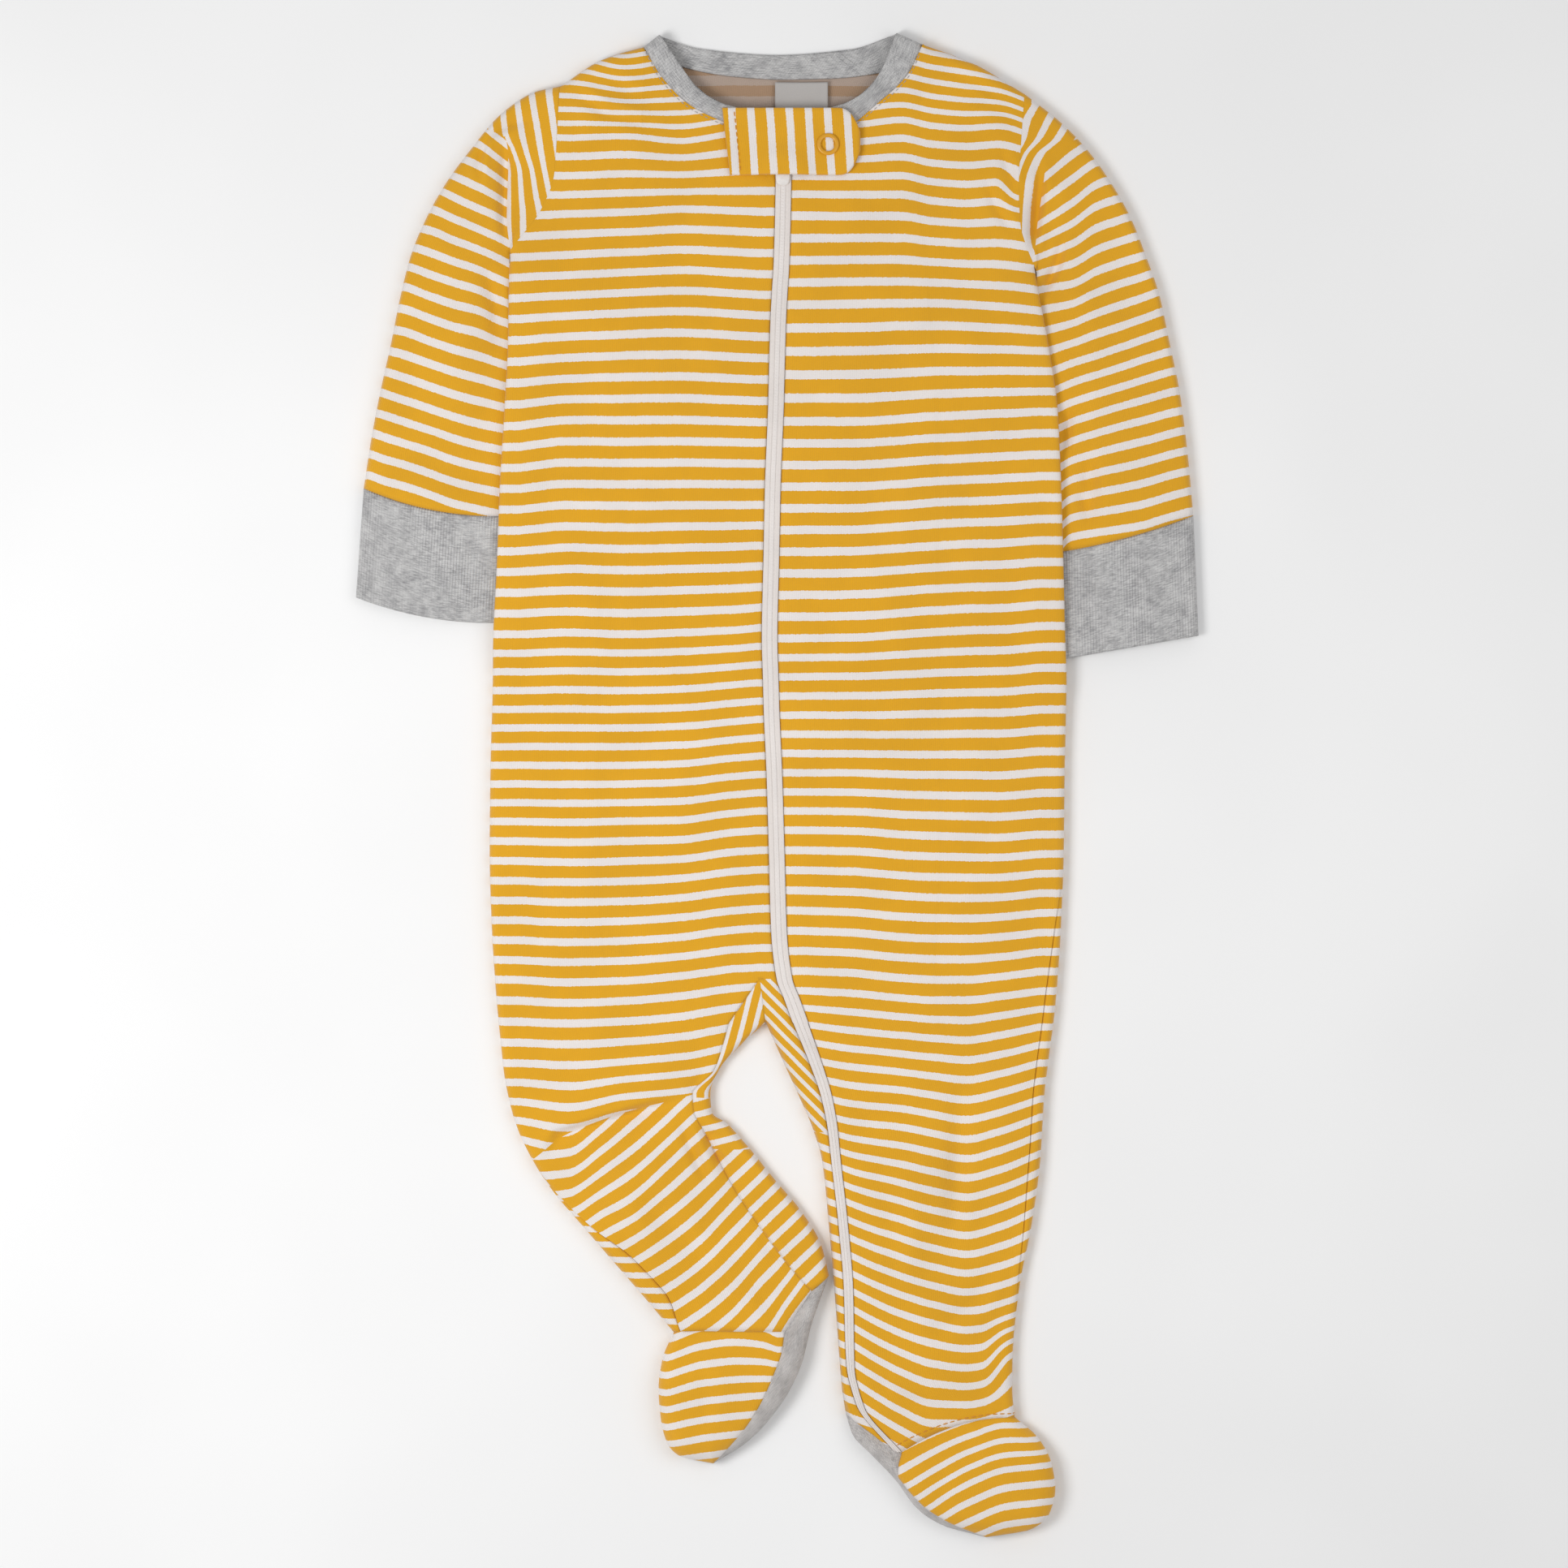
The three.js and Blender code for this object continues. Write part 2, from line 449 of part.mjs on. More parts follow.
const legLeftRows = LEG_LEFT_ROWS.map((row) => {
  const s = LEG_LEFT(row);
  const outer = [s.outX, s.outY];
  const seam = [s.seamX, s.seamY];
  const inner = [s.inX, s.inY];
  const side = mix(outer, seam, s.sideSeam / distance(outer, seam));
  const down = towards(outer, seam);
  const point = (place, layer) => tubePoint(place, layer, outer, inner, s.loft);
  const front = thighShares.map((f) => {
    const sag = s.drop * Math.min(f / cornerShare, (1 - f) / (1 - cornerShare));
    const place = mix(side, seam, f);
    return point([place[0] + down[1] * sag, place[1] - down[0] * sag], 'top');
  });
  return {
    side: WRAP_COLUMNS.map((f) => point(mix(side, outer, f), 'top')).reverse(),
    front,
    seat: WRAP_COLUMNS.map((f) => point(mix(seam, inner, f), 'top')),
    under: underLeftShares.map((f) => point(mix(inner, outer, f), 'bottom')),
  };
});
legLeftRows[0].front = crotchRows.at(-1).thigh;
legLeftRows[0].seat = crotchRows.at(-1).seat;
legLeftRows[0].under = backLeftRows.at(-1);
legLeftRows[0].side = legLeftRows[0].side.map(() => crotchRows.at(-1).thigh[0]);
lay('back', 'up', legLeftRows.map((row) => row.side));
lay('front_left', 'up', legLeftRows.map((row) => row.front));
lay('back', 'up', legLeftRows.map((row) => row.seat));
lay('back', 'down', legLeftRows.map((row) => row.under));

// Right leg
const stripShares = LEFT_COLUMNS.slice(CROTCH_COLUMN).map((f) => (
  (f - LEFT_COLUMNS[CROTCH_COLUMN]) / (1 - LEFT_COLUMNS[CROTCH_COLUMN])
));
const legRightRows = LEG_RIGHT_ROWS.map((row) => {
  const s = LEG_RIGHT(row);
  const inner = [s.inX, s.inY];
  const outer = [s.outX, s.outY];
  const zip = [s.zipX, s.zipY];
  const along = towards(inner, zip);
  const slope = row < ANKLE_BEND ? towards(zip, outer) : [1, 0];
  const zipLeft = [zip[0] - s.zipHalf * along[0], zip[1] - s.zipHalf * along[1]];
  const zipRight = [zip[0] + s.zipHalf * slope[0], zip[1] + s.zipHalf * slope[1]];
  const seam = mix(outer, zipRight, s.sideSeam / distance(outer, zipRight));
  const point = (place, layer) => tubePoint(place, layer, inner, outer, s.loft);
  return {
    strip: stripShares.map((f) => point(mix(inner, zipLeft, f), 'top')),
    zip: withChain(ZIP_COLUMNS.map((f) => point(mix(zipLeft, zipRight, f), 'top'))),
    front: RIGHT_COLUMNS.map((f) => {
      const place = mix(seam, zipRight, f);
      return point([place[0], place[1] + s.bow * 4 * f * (1 - f)], 'top');
    }).reverse(),
    wrap: WRAP_COLUMNS.map((f) => point(mix(seam, outer, f), 'top')),
    under: underRightShares.map((f) => point(mix(outer, inner, f), 'bottom')),
  };
});
legRightRows[0] = {
  strip: crotchRows.at(-1).strip,
  zip: zipRows.at(-1),
  front: frontRightRows.at(-1),
  wrap: wrapRows.at(-1),
  under: backRightRows.at(-1),
};
lay('front_left', 'up', legRightRows.map((row) => row.strip));
layZip(legRightRows.map((row) => row.zip));
lay('front_right', 'up', legRightRows.map((row) => row.front));
lay('back', 'up', legRightRows.map((row) => row.wrap));
lay('back', 'down', legRightRows.map((row) => row.under));

// Feet
const OUTLINE_STEPS = 24;
function footOutline(table) {
  const shares = Array.from({ length: OUTLINE_STEPS + 1 }, (_, k) => k / OUTLINE_STEPS);
  const cap = shares.map((g) => [table(g).capX, table(g).capY]);
  const sole = shares.map((g) => [table(g).soleX, table(g).soleY]);
  return [...cap, ...sole.reverse().slice(1)];
}

function insetFrom(outline, place) {
  let best = Infinity;
  for (let k = 0; k < outline.length - 1; k += 1) {
    const [p, q] = [outline[k], outline[k + 1]];
    const length = distance(p, q) || 1;
    const run = ((place[0] - p[0]) * (q[0] - p[0]) + (place[1] - p[1]) * (q[1] - p[1])) / length ** 2;
    best = Math.min(best, distance(place, mix(p, q, clamp01(run))));
  }
  return best;
}

// One foot: its first row is the leg's last one, and its last row is the tip of the toes.
function layFoot(side, table, ring, capUnder) {
  const outline = footOutline(table);
  const widest = table(FOOT_HEART);
  const heart = [(widest.capX + widest.soleX) / 2, (widest.capY + widest.soleY) / 2];
  const base = table(0);
  const ends = { cap: [base.capX, base.capY], seam: [base.seamX, base.seamY], sole: [base.soleX, base.soleY] };
  const reach = distance(heart, [table(1).capX, table(1).capY]);
  const grow = (points, from, to, layer) => {
    const total = distance(ends[from], ends[to]);
    const shares = points.map(({ at }) => clamp01(distance(ends[from], at) / total));
    const rest = points.map(({ at }, index) => {
      const flat = mix(ends[from], ends[to], shares[index]);
      return [at[0] - flat[0], at[1] - flat[1]];
    });
    const later = FOOT_ROWS.map((g) => {
      const s = table(g);
      const start = [s[`${from}X`], s[`${from}Y`]];
      const end = [s[`${to}X`], s[`${to}Y`]];
      const keep = 1 - smooth(g / FOOT_BEND_FADE);
      return shares.map((share, index) => {
        const flat = mix(start, end, share);
        const place = [flat[0] + rest[index][0] * keep, flat[1] + rest[index][1] * keep];
        const onEdge = (from === 'cap' && index === 0) || (to === 'sole' && index === shares.length - 1);
        const inset = g === 1 || onEdge ? 0 : insetFrom(outline, place);
        const inward = towards(place, heart);
        const deep = Math.min(1, distance(place, heart) / reach);
        const loft = s.loft * (1 - FOOT_CROWN_DROP * deep);
        return skinPoint(place, layer, { inset, inward, roll: s.roll }, loft, 0);
      });
    });
    return [points, ...later];
  };
  lay(`toe_cap_${side}`, 'up', grow(ring.cap, 'cap', 'seam', 'top'));
  lay(`sole_${side}`, 'up', grow(ring.sole, 'seam', 'sole', 'top'));
  const under = grow(ring.under, 'cap', 'sole', 'bottom');
  lay(`toe_cap_${side}`, 'down', part(under, 0, capUnder));
  lay(`sole_${side}`, 'down', part(under, capUnder, ring.under.length - 1));
}

const lastLeft = legLeftRows.at(-1);
layFoot('left', FOOT_LEFT, {
  cap: [...lastLeft.side, ...lastLeft.front.slice(1, ANKLE_CORNER_COLUMN + 1)],
  sole: [...lastLeft.front.slice(ANKLE_CORNER_COLUMN), ...lastLeft.seat.slice(1)],
  under: [...lastLeft.under].reverse(),
}, CAP_UNDERSIDE_COLUMNS);

const lastRight = legRightRows.at(-1);
layFoot('right', FOOT_RIGHT, {
  cap: [...lastRight.wrap.slice(0, 1), ...[...lastRight.front].reverse().slice(1)],
  sole: [...[...lastRight.zip].reverse(), ...[...lastRight.strip].reverse().slice(1)],
  under: lastRight.under,
}, CAP_UNDERSIDE_COLUMNS);

// Sleeves and cuffs
function laySleeve(side, table, cuff, armTop, armUnder) {
  const shares = armTop.map((point, index) => {
    const run = (k) => armTop.slice(1, k + 1).reduce((sum, p, j) => sum + distance(p.at, armTop[j].at), 0);
    return run(index) / run(armTop.length - 1);
  });
  const rowPoints = (outer, inner, bow, loft, innerLoft, layer) => shares.map((v) => {
    const flat = mix(outer, inner, v);
    const along = towards(outer, inner);
    const normal = side === 'left' ? [-along[1], along[0]] : [along[1], -along[0]];
    const sag = bow * 4 * v * (1 - v);
    const place = [flat[0] + normal[0] * sag, flat[1] + normal[1] * sag];
    const height = lerp(loft, innerLoft, smooth((v - SLEEVE_TUCK_START) / SLEEVE_TUCK_SPAN));
    return { place, height, outer, inner, layer };
  });
  const corner = side === 'left' ? underarmLeft : underarmRight;
  const point = (spot) => (
    tubePoint(spot.place, spot.layer, spot.outer, spot.inner, spot.height, [corner(spot.place)])
  );
  const rows = (layer, arm) => SLEEVE_ROWS.map((t) => {
    if (t === 0) return arm;
    const s = table(t);
    const head = 1 - smooth(t / SLEEVE_HEAD);
    const loft = lerp(SLEEVE_LOFT, LOFT, head);
    const spots = rowPoints([s.outX, s.outY], [s.inX, s.inY], s.bow, loft, s.innerLoft, layer);
    return spots.map((spot, index) => {
      const seam = mix(arm[0].at, arm.at(-1).at, shares[index]);
      const bulge = [arm[index].at[0] - seam[0], arm[index].at[1] - seam[1]];
      const place = [spot.place[0] + bulge[0] * head, spot.place[1] + bulge[1] * head];
      return point({ ...spot, place });
    });
  });
  const cuffRows = (layer, last) => CUFF_ROWS.map((t) => {
    if (t === 0) return last;
    const outer = mix([table(1).outX, table(1).outY], cuff.outer, t);
    const inner = mix([table(1).inX, table(1).inY], cuff.inner, t);
    const bow = lerp(table(1).bow, cuff.bow, t);
    return rowPoints(outer, inner, bow, CUFF_LOFT, TUCKED_LOFT, layer).map(point);
  });
  const top = rows('top', armTop);
  const under = rows('bottom', armUnder);
  lay(`sleeve_${side}`, 'up', top);
  lay(`sleeve_${side}`, 'down', under);
  lay(`cuff_${side}`, 'up', cuffRows('top', top.at(-1)));
  lay(`cuff_${side}`, 'down', cuffRows('bottom', under.at(-1)));
}

const armholeTop = ARMHOLE_ROWS.length;
laySleeve('left', SLEEVE_LEFT, CUFF_LEFT,
  frontLeftRows.slice(0, armholeTop).map((row) => row[0]),
  backLeftRows.slice(0, armholeTop).map((row) => row.at(-1)));
laySleeve('right', SLEEVE_RIGHT, CUFF_RIGHT,
  frontRightRows.slice(0, armholeTop).map((row) => row.at(-1)),
  backRightRows.slice(0, armholeTop).map((row) => row[0]));

// Neckband: from the neck seam to its free edge, round the front and back in one ring
const BAND_SHARES = [0, 0.5, 1];
function layBand(seam, table, layer) {
  const run = (k) => seam.slice(1, k + 1).reduce((sum, p, j) => sum + distance(p.at, seam[j].at), 0);
  const shares = seam.map((_, index) => run(index) / run(seam.length - 1));
  const across = (w) => seam.map((point, index) => {
    const free = table(shares[index]);
    return mix(point.at.slice(0, 2), [free.x, free.y], w);
  });
  const rows = BAND_SHARES.map((w) => {
    if (w === 0) return seam;
    const places = across(w);
    return places.map((place) => tubePoint(place, layer, places[0], places.at(-1), LOFT));
  });
  lay('neckband', layer === 'top' ? 'up' : 'down', rows);
}
layBand([
  ...frontLeftRows[0].slice(LEFT_NECK_COLUMN),
  ...zipRows[0].slice(1),
  ...frontRightRows[0].slice(1, RIGHT_COLUMNS.length - RIGHT_NECK_COLUMN),
], BAND_FRONT, 'top');
layBand([
  ...[...backLeftRows[0]].reverse().slice(LEFT_NECK_COLUMN),
  ...[...backRightRows[0]].reverse().slice(1, backRightRows[0].length - RIGHT_NECK_COLUMN),
], BAND_BACK, 'bottom');

// One piece of cloth: its patches joined, given their wall and closed round every cut edge
const LOOKS = {
  jersey: { color: 0xe0a32e, roughness: 0.9, metalness: 0 },
  rib: { color: 0xa9a9aa, roughness: 0.95, metalness: 0 },
  zip: { color: 0xf1efec, roughness: 0.6, metalness: 0 },
  enamel: { color: 0xe3a835, roughness: 0.35, metalness: 0 },
  satin: { color: 0xf4f3f1, roughness: 0.5, metalness: 0 },
};

function geometryFrom(vertices, triangles) {
  const geometry = new THREE.BufferGeometry();
  geometry.setAttribute('position', new THREE.Float32BufferAttribute(vertices.flat(), 3));
  geometry.setIndex(triangles.flat());
  return geometry;
}

function facesOf(grid, facing) {
  const faces = [];
  let tilt = 0;
  const level = (a, b, c) => (
    (b.at[0] - a.at[0]) * (c.at[1] - a.at[1]) - (b.at[1] - a.at[1]) * (c.at[0] - a.at[0])
  );
  for (let i = 0; i < grid.length - 1; i += 1) {
    for (let j = 0; j < grid[i].length - 1; j += 1) {
      const quad = [grid[i][j], grid[i + 1][j], grid[i + 1][j + 1], grid[i][j + 1]];
      faces.push([quad[0], quad[1], quad[2]], [quad[0], quad[2], quad[3]]);
      tilt += level(quad[0], quad[1], quad[2]) + level(quad[0], quad[2], quad[3]);
    }
  }
  const wanted = facing === 'up' ? 1 : -1;
  return tilt * wanted > 0 ? faces : faces.map(([a, b, c]) => [a, c, b]);
}

function clothGeometry(piece, wall) {
  const index = new Map();
  const skin = [];
  const number = (point) => {
    const key = point.at.map((value) => Math.round(value * 2000)).join();
    if (!index.has(key)) {
      index.set(key, skin.length);
      skin.push(point);
    }
    return index.get(key);
  };
  const triangles = patches.filter((patch) => patch.piece === piece)
    .flatMap((patch) => facesOf(patch.rows, patch.facing))
    .map((face) => face.map(number))
    .filter(([a, b, c]) => a !== b && b !== c && c !== a);

  // A cut edge belongs to one triangle only.
  const owners = new Map();
  triangles.forEach(([a, b, c]) => {
    [[a, b, c], [b, c, a], [c, a, b]].forEach(([from, to, third]) => {
      owners.set(`${from} ${to}`, { from, to, third });
    });
  });
  const rims = [...owners.values()].filter(({ from, to }) => !owners.has(`${to} ${from}`));

  // Every cut edge is drawn back from the seam by half of the gap, along the cloth.
  const pull = skin.map(() => new THREE.Vector3());
  rims.forEach(({ from, to, third }) => {
    const start = new THREE.Vector3(...skin[from].at);
    const along = new THREE.Vector3(...skin[to].at).sub(start).normalize();
    const inward = new THREE.Vector3(...skin[third].at).sub(start);
    inward.addScaledVector(along, -inward.dot(along)).normalize();
    pull[from].add(inward);
    pull[to].add(inward);
  });
  const outer = skin.map(({ at }, k) => (
    new THREE.Vector3(...at).addScaledVector(pull[k].normalize(), SEAM_GAP / 2).toArray()
  ));
  const inner = skin.map(({ through }, k) => outer[k].map((value, axis) => value + wall * through[axis]));
  const shift = skin.length;
  const lining = triangles.map(([a, b, c]) => [a + shift, c + shift, b + shift]);
  const order = (k) => skin[k].at[0] + 3 * skin[k].at[1];
  const edges = rims.flatMap(({ from, to }) => (order(from) < order(to)
    ? [[to, from, from + shift], [to, from + shift, to + shift]]
    : [[to, from, to + shift], [from, from + shift, to + shift]]));
  return geometryFrom([...outer, ...inner], [...triangles, ...lining, ...edges]);
}

// A flat piece on its own: a grid of places with its underside height and a thickness
function plateGeometry(columns, rows, place, underside, thickness) {
  const vertices = [];
  for (const layer of [0, 1]) {
    for (let i = 0; i <= rows; i += 1) {
      for (let j = 0; j <= columns; j += 1) {
        const [x, y] = place(j / columns, i / rows);
        vertices.push([x, y, underside(x, y) + layer * thickness]);
      }
    }
  }
  const stride = columns + 1;
  const top = stride * (rows + 1);
  const triangles = [];
  for (let i = 0; i < rows; i += 1) {
    for (let j = 0; j < columns; j += 1) {
      const a = i * stride + j;
      const b = a + stride;
      triangles.push([a, b + 1, b], [a, a + 1, b + 1]);
      triangles.push([a + top, b + top, b + 1 + top], [a + top, b + 1 + top, a + 1 + top]);
    }
  }
  const rim = [];
  for (let j = 0; j < columns; j += 1) rim.push(j);
  for (let i = 0; i < rows; i += 1) rim.push(i * stride + columns);
  for (let j = columns; j > 0; j -= 1) rim.push(rows * stride + j);
  for (let i = rows; i > 0; i -= 1) rim.push(i * stride);
  rim.forEach((from, k) => {
    const to = rim[(k + 1) % rim.length];
    triangles.push([from, to + top, to], [from, from + top, to + top]);
  });
  return geometryFrom(vertices, triangles);
}

// Flap over the top of the zip, sewn at its left end, with a rounded right end and a hump over the slider
const TAB = { left: -20.8, right: 34.3, top: 277.3, bottom: 249.6, thickness: 2.4, lift: 0.5 };
const TAB_ROUND = 10;
const TAB_ROUND_DEPTH = 0.72;
const TAB_SLANT = 3.2;
const SLIDER = { x: 2.5, y: 250.2, width: 7, length: 9.5, thickness: 1.5, lift: 0.75 };
const HUMP = { height: 2.3, reach: 9 };
const tabUnderside = (x, y) => {
  const off = Math.hypot((x - SLIDER.x) / HUMP.reach, (y - SLIDER.y) / HUMP.reach);
  return LOFT + TAB.lift + HUMP.height * Math.exp(-(off ** 4) / 2);
};
const tabPlace = (u, v) => {
  const x = lerp(TAB.left, TAB.right, u);
  const end = clamp01((x - (TAB.right - TAB_ROUND)) / TAB_ROUND);
  const half = ((TAB.top - TAB.bottom) / 2) * (1 - TAB_ROUND_DEPTH * end ** 3);
  return [x + TAB_SLANT * (1 - u) * (v - 0.5), (TAB.top + TAB.bottom) / 2 + half * (1 - 2 * v)];
};

// Ring of the snap, set into the flap
const SNAP = { x: 21, y: 262, outer: 4.5, inner: 2.85, height: 0.9, bevel: 0.35, lift: 0.3 };
function snapGeometry() {
  const { outer, inner, height, bevel } = SNAP;
  const profile = [
    [inner, 0], [outer, 0], [outer, height * 0.6], [outer - bevel, height], [inner + bevel, height],
    [inner, height * 0.6], [inner, 0],
  ].map(([r, z]) => new THREE.Vector2(r, z));
  return new THREE.LatheGeometry(profile, 24).rotateX(Math.PI / 2);
}

// Slider of the zip, its lower end showing under the flap
function sliderGeometry() {
  const { width, length, thickness } = SLIDER;
  const shape = new THREE.Shape();
  shape.moveTo(-width * 0.3, -length / 2);
  shape.lineTo(width * 0.3, -length / 2);
  shape.quadraticCurveTo(width * 0.42, -length / 2, width * 0.42, -length * 0.36);
  shape.lineTo(width / 2, length * 0.2);
  shape.quadraticCurveTo(width / 2, length / 2, width * 0.2, length / 2);
  shape.lineTo(-width * 0.2, length / 2);
  shape.quadraticCurveTo(-width / 2, length / 2, -width / 2, length * 0.2);
  shape.lineTo(-width * 0.42, -length * 0.36);
  shape.quadraticCurveTo(-width * 0.42, -length / 2, -width * 0.3, -length / 2);
  return new THREE.ExtrudeGeometry(shape, { depth: thickness, bevelEnabled: false, curveSegments: 4 });
}

// Satin label, folded double, on the inside of the back below the neck seam
const LABEL = { left: -0.7, right: 21, top: 288.6, bottom: 265, thickness: 1, lift: 0.35 };
const labelPlace = (u, v) => [lerp(LABEL.left, LABEL.right, u), lerp(LABEL.top, LABEL.bottom, v)];

const garment = new THREE.Group();

function add(name, geometry, look, [x, y, z] = [0, 0, 0]) {
  const mesh = new THREE.Mesh(geometry, new THREE.MeshStandardMaterial(LOOKS[look]));
  mesh.name = name;
  mesh.position.set(x, y, z);
  garment.add(mesh);
}

['front_left', 'front_right', 'back', 'sleeve_left', 'sleeve_right'].forEach((piece) => (
  add(piece, clothGeometry(piece, JERSEY), 'jersey')
));
['toe_cap_left', 'toe_cap_right'].forEach((piece) => add(piece, clothGeometry(piece, SOLE), 'jersey'));
['sole_left', 'sole_right'].forEach((piece) => add(piece, clothGeometry(piece, SOLE), 'rib'));
['cuff_left', 'cuff_right', 'neckband'].forEach((piece) => add(piece, clothGeometry(piece, RIB), 'rib'));
['zip_tape_left', 'zip_chain', 'zip_tape_right'].forEach((piece) => (
  add(piece, clothGeometry(piece, TAPE), 'zip')
));
add('neck_tab', plateGeometry(14, 7, tabPlace, tabUnderside, TAB.thickness), 'jersey');
add('neck_label', plateGeometry(3, 3, labelPlace, () => JERSEY + LABEL.lift, LABEL.thickness), 'satin');
const snapBase = tabUnderside(SNAP.x, SNAP.y) + TAB.thickness + SNAP.lift;
add('snap_ring', snapGeometry(), 'enamel', [SNAP.x, SNAP.y, snapBase]);
add('zip_slider', sliderGeometry(), 'zip', [SLIDER.x, SLIDER.y, LOFT + SLIDER.lift]);

// The garment is centred over its own middle and rests at height 0.
const box = new THREE.Box3().setFromObject(garment);
const middle = box.getCenter(new THREE.Vector3());
garment.position.set(-middle.x, -middle.y, -box.min.z);

export default garment;
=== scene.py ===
# %% [markdown]
# # A footed baby sleepsuit, laid flat
# A cotton jersey sleepsuit lies on its back with its neck at +Y. Two layers of cloth rest on each other, and
# the outline is where the cloth folds from the top layer to the bottom one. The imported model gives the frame.

# %% Load the frame
import bpy
import numpy as np
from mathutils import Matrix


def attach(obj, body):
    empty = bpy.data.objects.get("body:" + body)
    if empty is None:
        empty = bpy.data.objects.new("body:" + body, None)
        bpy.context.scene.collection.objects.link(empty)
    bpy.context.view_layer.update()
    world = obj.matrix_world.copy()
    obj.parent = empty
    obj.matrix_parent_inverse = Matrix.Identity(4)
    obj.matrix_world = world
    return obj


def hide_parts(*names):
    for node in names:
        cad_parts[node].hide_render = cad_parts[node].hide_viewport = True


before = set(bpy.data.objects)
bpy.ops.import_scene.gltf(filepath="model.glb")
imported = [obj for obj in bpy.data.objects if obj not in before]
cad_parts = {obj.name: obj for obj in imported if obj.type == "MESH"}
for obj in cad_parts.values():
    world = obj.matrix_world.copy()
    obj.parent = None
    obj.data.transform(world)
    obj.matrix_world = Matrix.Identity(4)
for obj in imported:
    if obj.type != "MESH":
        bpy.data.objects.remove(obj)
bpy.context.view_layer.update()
MM = 0.001
print("nodes in the frame:", len(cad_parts))

# %% [markdown]
# Every outline of the suit is a short table: a place along the garment, and where its edges lie there.
# Straight lines between the rows would leave corners in the cloth, and an ordinary spline overshoots.
# A cubic whose slope at a row is the harmonic mean of its two neighbours does neither.

# %% Tables read by a smooth curve
def curves(rows):
    """Read a table at any key. Between two rows each column follows a cubic Hermite curve, with the harmonic
    mean of the secants as its slope, or none where the column turns."""
    table = np.array(sorted(rows), float)
    keys, values = table[:, 0], table[:, 1:]
    span = np.diff(keys)[:, None]
    secant = np.diff(values, axis=0) / span
    before, after = secant[:-1], secant[1:]
    turns = before * after <= 0
    mean = 2 * before * after / np.where(turns, 1, before + after)
    slope = np.vstack([secant[:1], np.where(turns, 0, mean), secant[-1:]])

    def read(key):
        key = np.asarray(key, float)
        k = np.clip(np.searchsorted(keys, key, side="right") - 1, 0, len(keys) - 2)
        t = np.clip((key - keys[k]) / span[k, 0], 0, 1)[..., None]
        rise = slope[k] * (1 - t) - slope[k + 1] * t
        ends = values[k] * (1 + 2 * t) * (1 - t) ** 2 + values[k + 1] * (3 - 2 * t) * t ** 2
        return ends + rise * span[k] * t * (1 - t)

    return read


def sections(names, rows):
    """The same table, read as named columns."""
    read = curves(rows)
    return lambda key: dict(zip(names.split(), np.moveaxis(read(key), -1, 0)))


def columns(table, rows):
    """A table read on rows, with each column ready to be combined with a row of shares."""
    return {key: value[:, None, None] for key, value in table(rows).items()}


def pair(read, line):
    """The X and Y columns of one line of a table as places."""
    return np.concatenate([read[line + "X"], read[line + "Y"]], axis=-1)


def full_turn(steps):
    """Angles once round a circle, the last the same as the first, so that the ring closes."""
    angle = np.linspace(0, 2 * np.pi, steps)
    angle[-1] = 0
    return angle


def smooth(t):
    """0 below 0, 1 above 1, and 3t² - 2t³ between."""
    t = np.clip(t, 0, 1)
    return t * t * (3 - 2 * t)


def mix(p, q, t):
    return p + (q - p) * t


# %% [markdown]
# The outline of the real suit comes next, in millimetres: the torso, the neck, the bent left leg, the straight
# right leg, the sleeves, the cuffs and the feet. X runs across, Y up to the neck and Z up from the surface.

# %% Outline of the torso and the neck
LOFT, EDGE_ROLL, TUCKED_LOFT = 7, 3.5, 3.9
TUCK_FLAT, TUCK_FADE, TUCK_RISE = 9, 14, 0.29
UNDERARM_LEFT, UNDERARM_RIGHT, UNDERARM_ROLL = (-109.7, 218), (106, 212), 7
SHOULDER_ROW, SHOULDER_RIGHT_Y, UNDERARM_ROW = 286.7, 283.7, 218
NECK_LEFT, NECK_RIGHT = (-54.7, 302.9), (60, 303.9)
YOKE_END, CROTCH_ROW, SPLIT_ROW, ANKLE_ROW = 190, -80, -98, -259
SHOULDER_LEFT_X, SHOULDER_RIGHT_X, ZIP_TOP_X = -89, 101.7, 2.9
CROTCH = (-4.5, SPLIT_ROW)
ZIP_HALF = 3.2
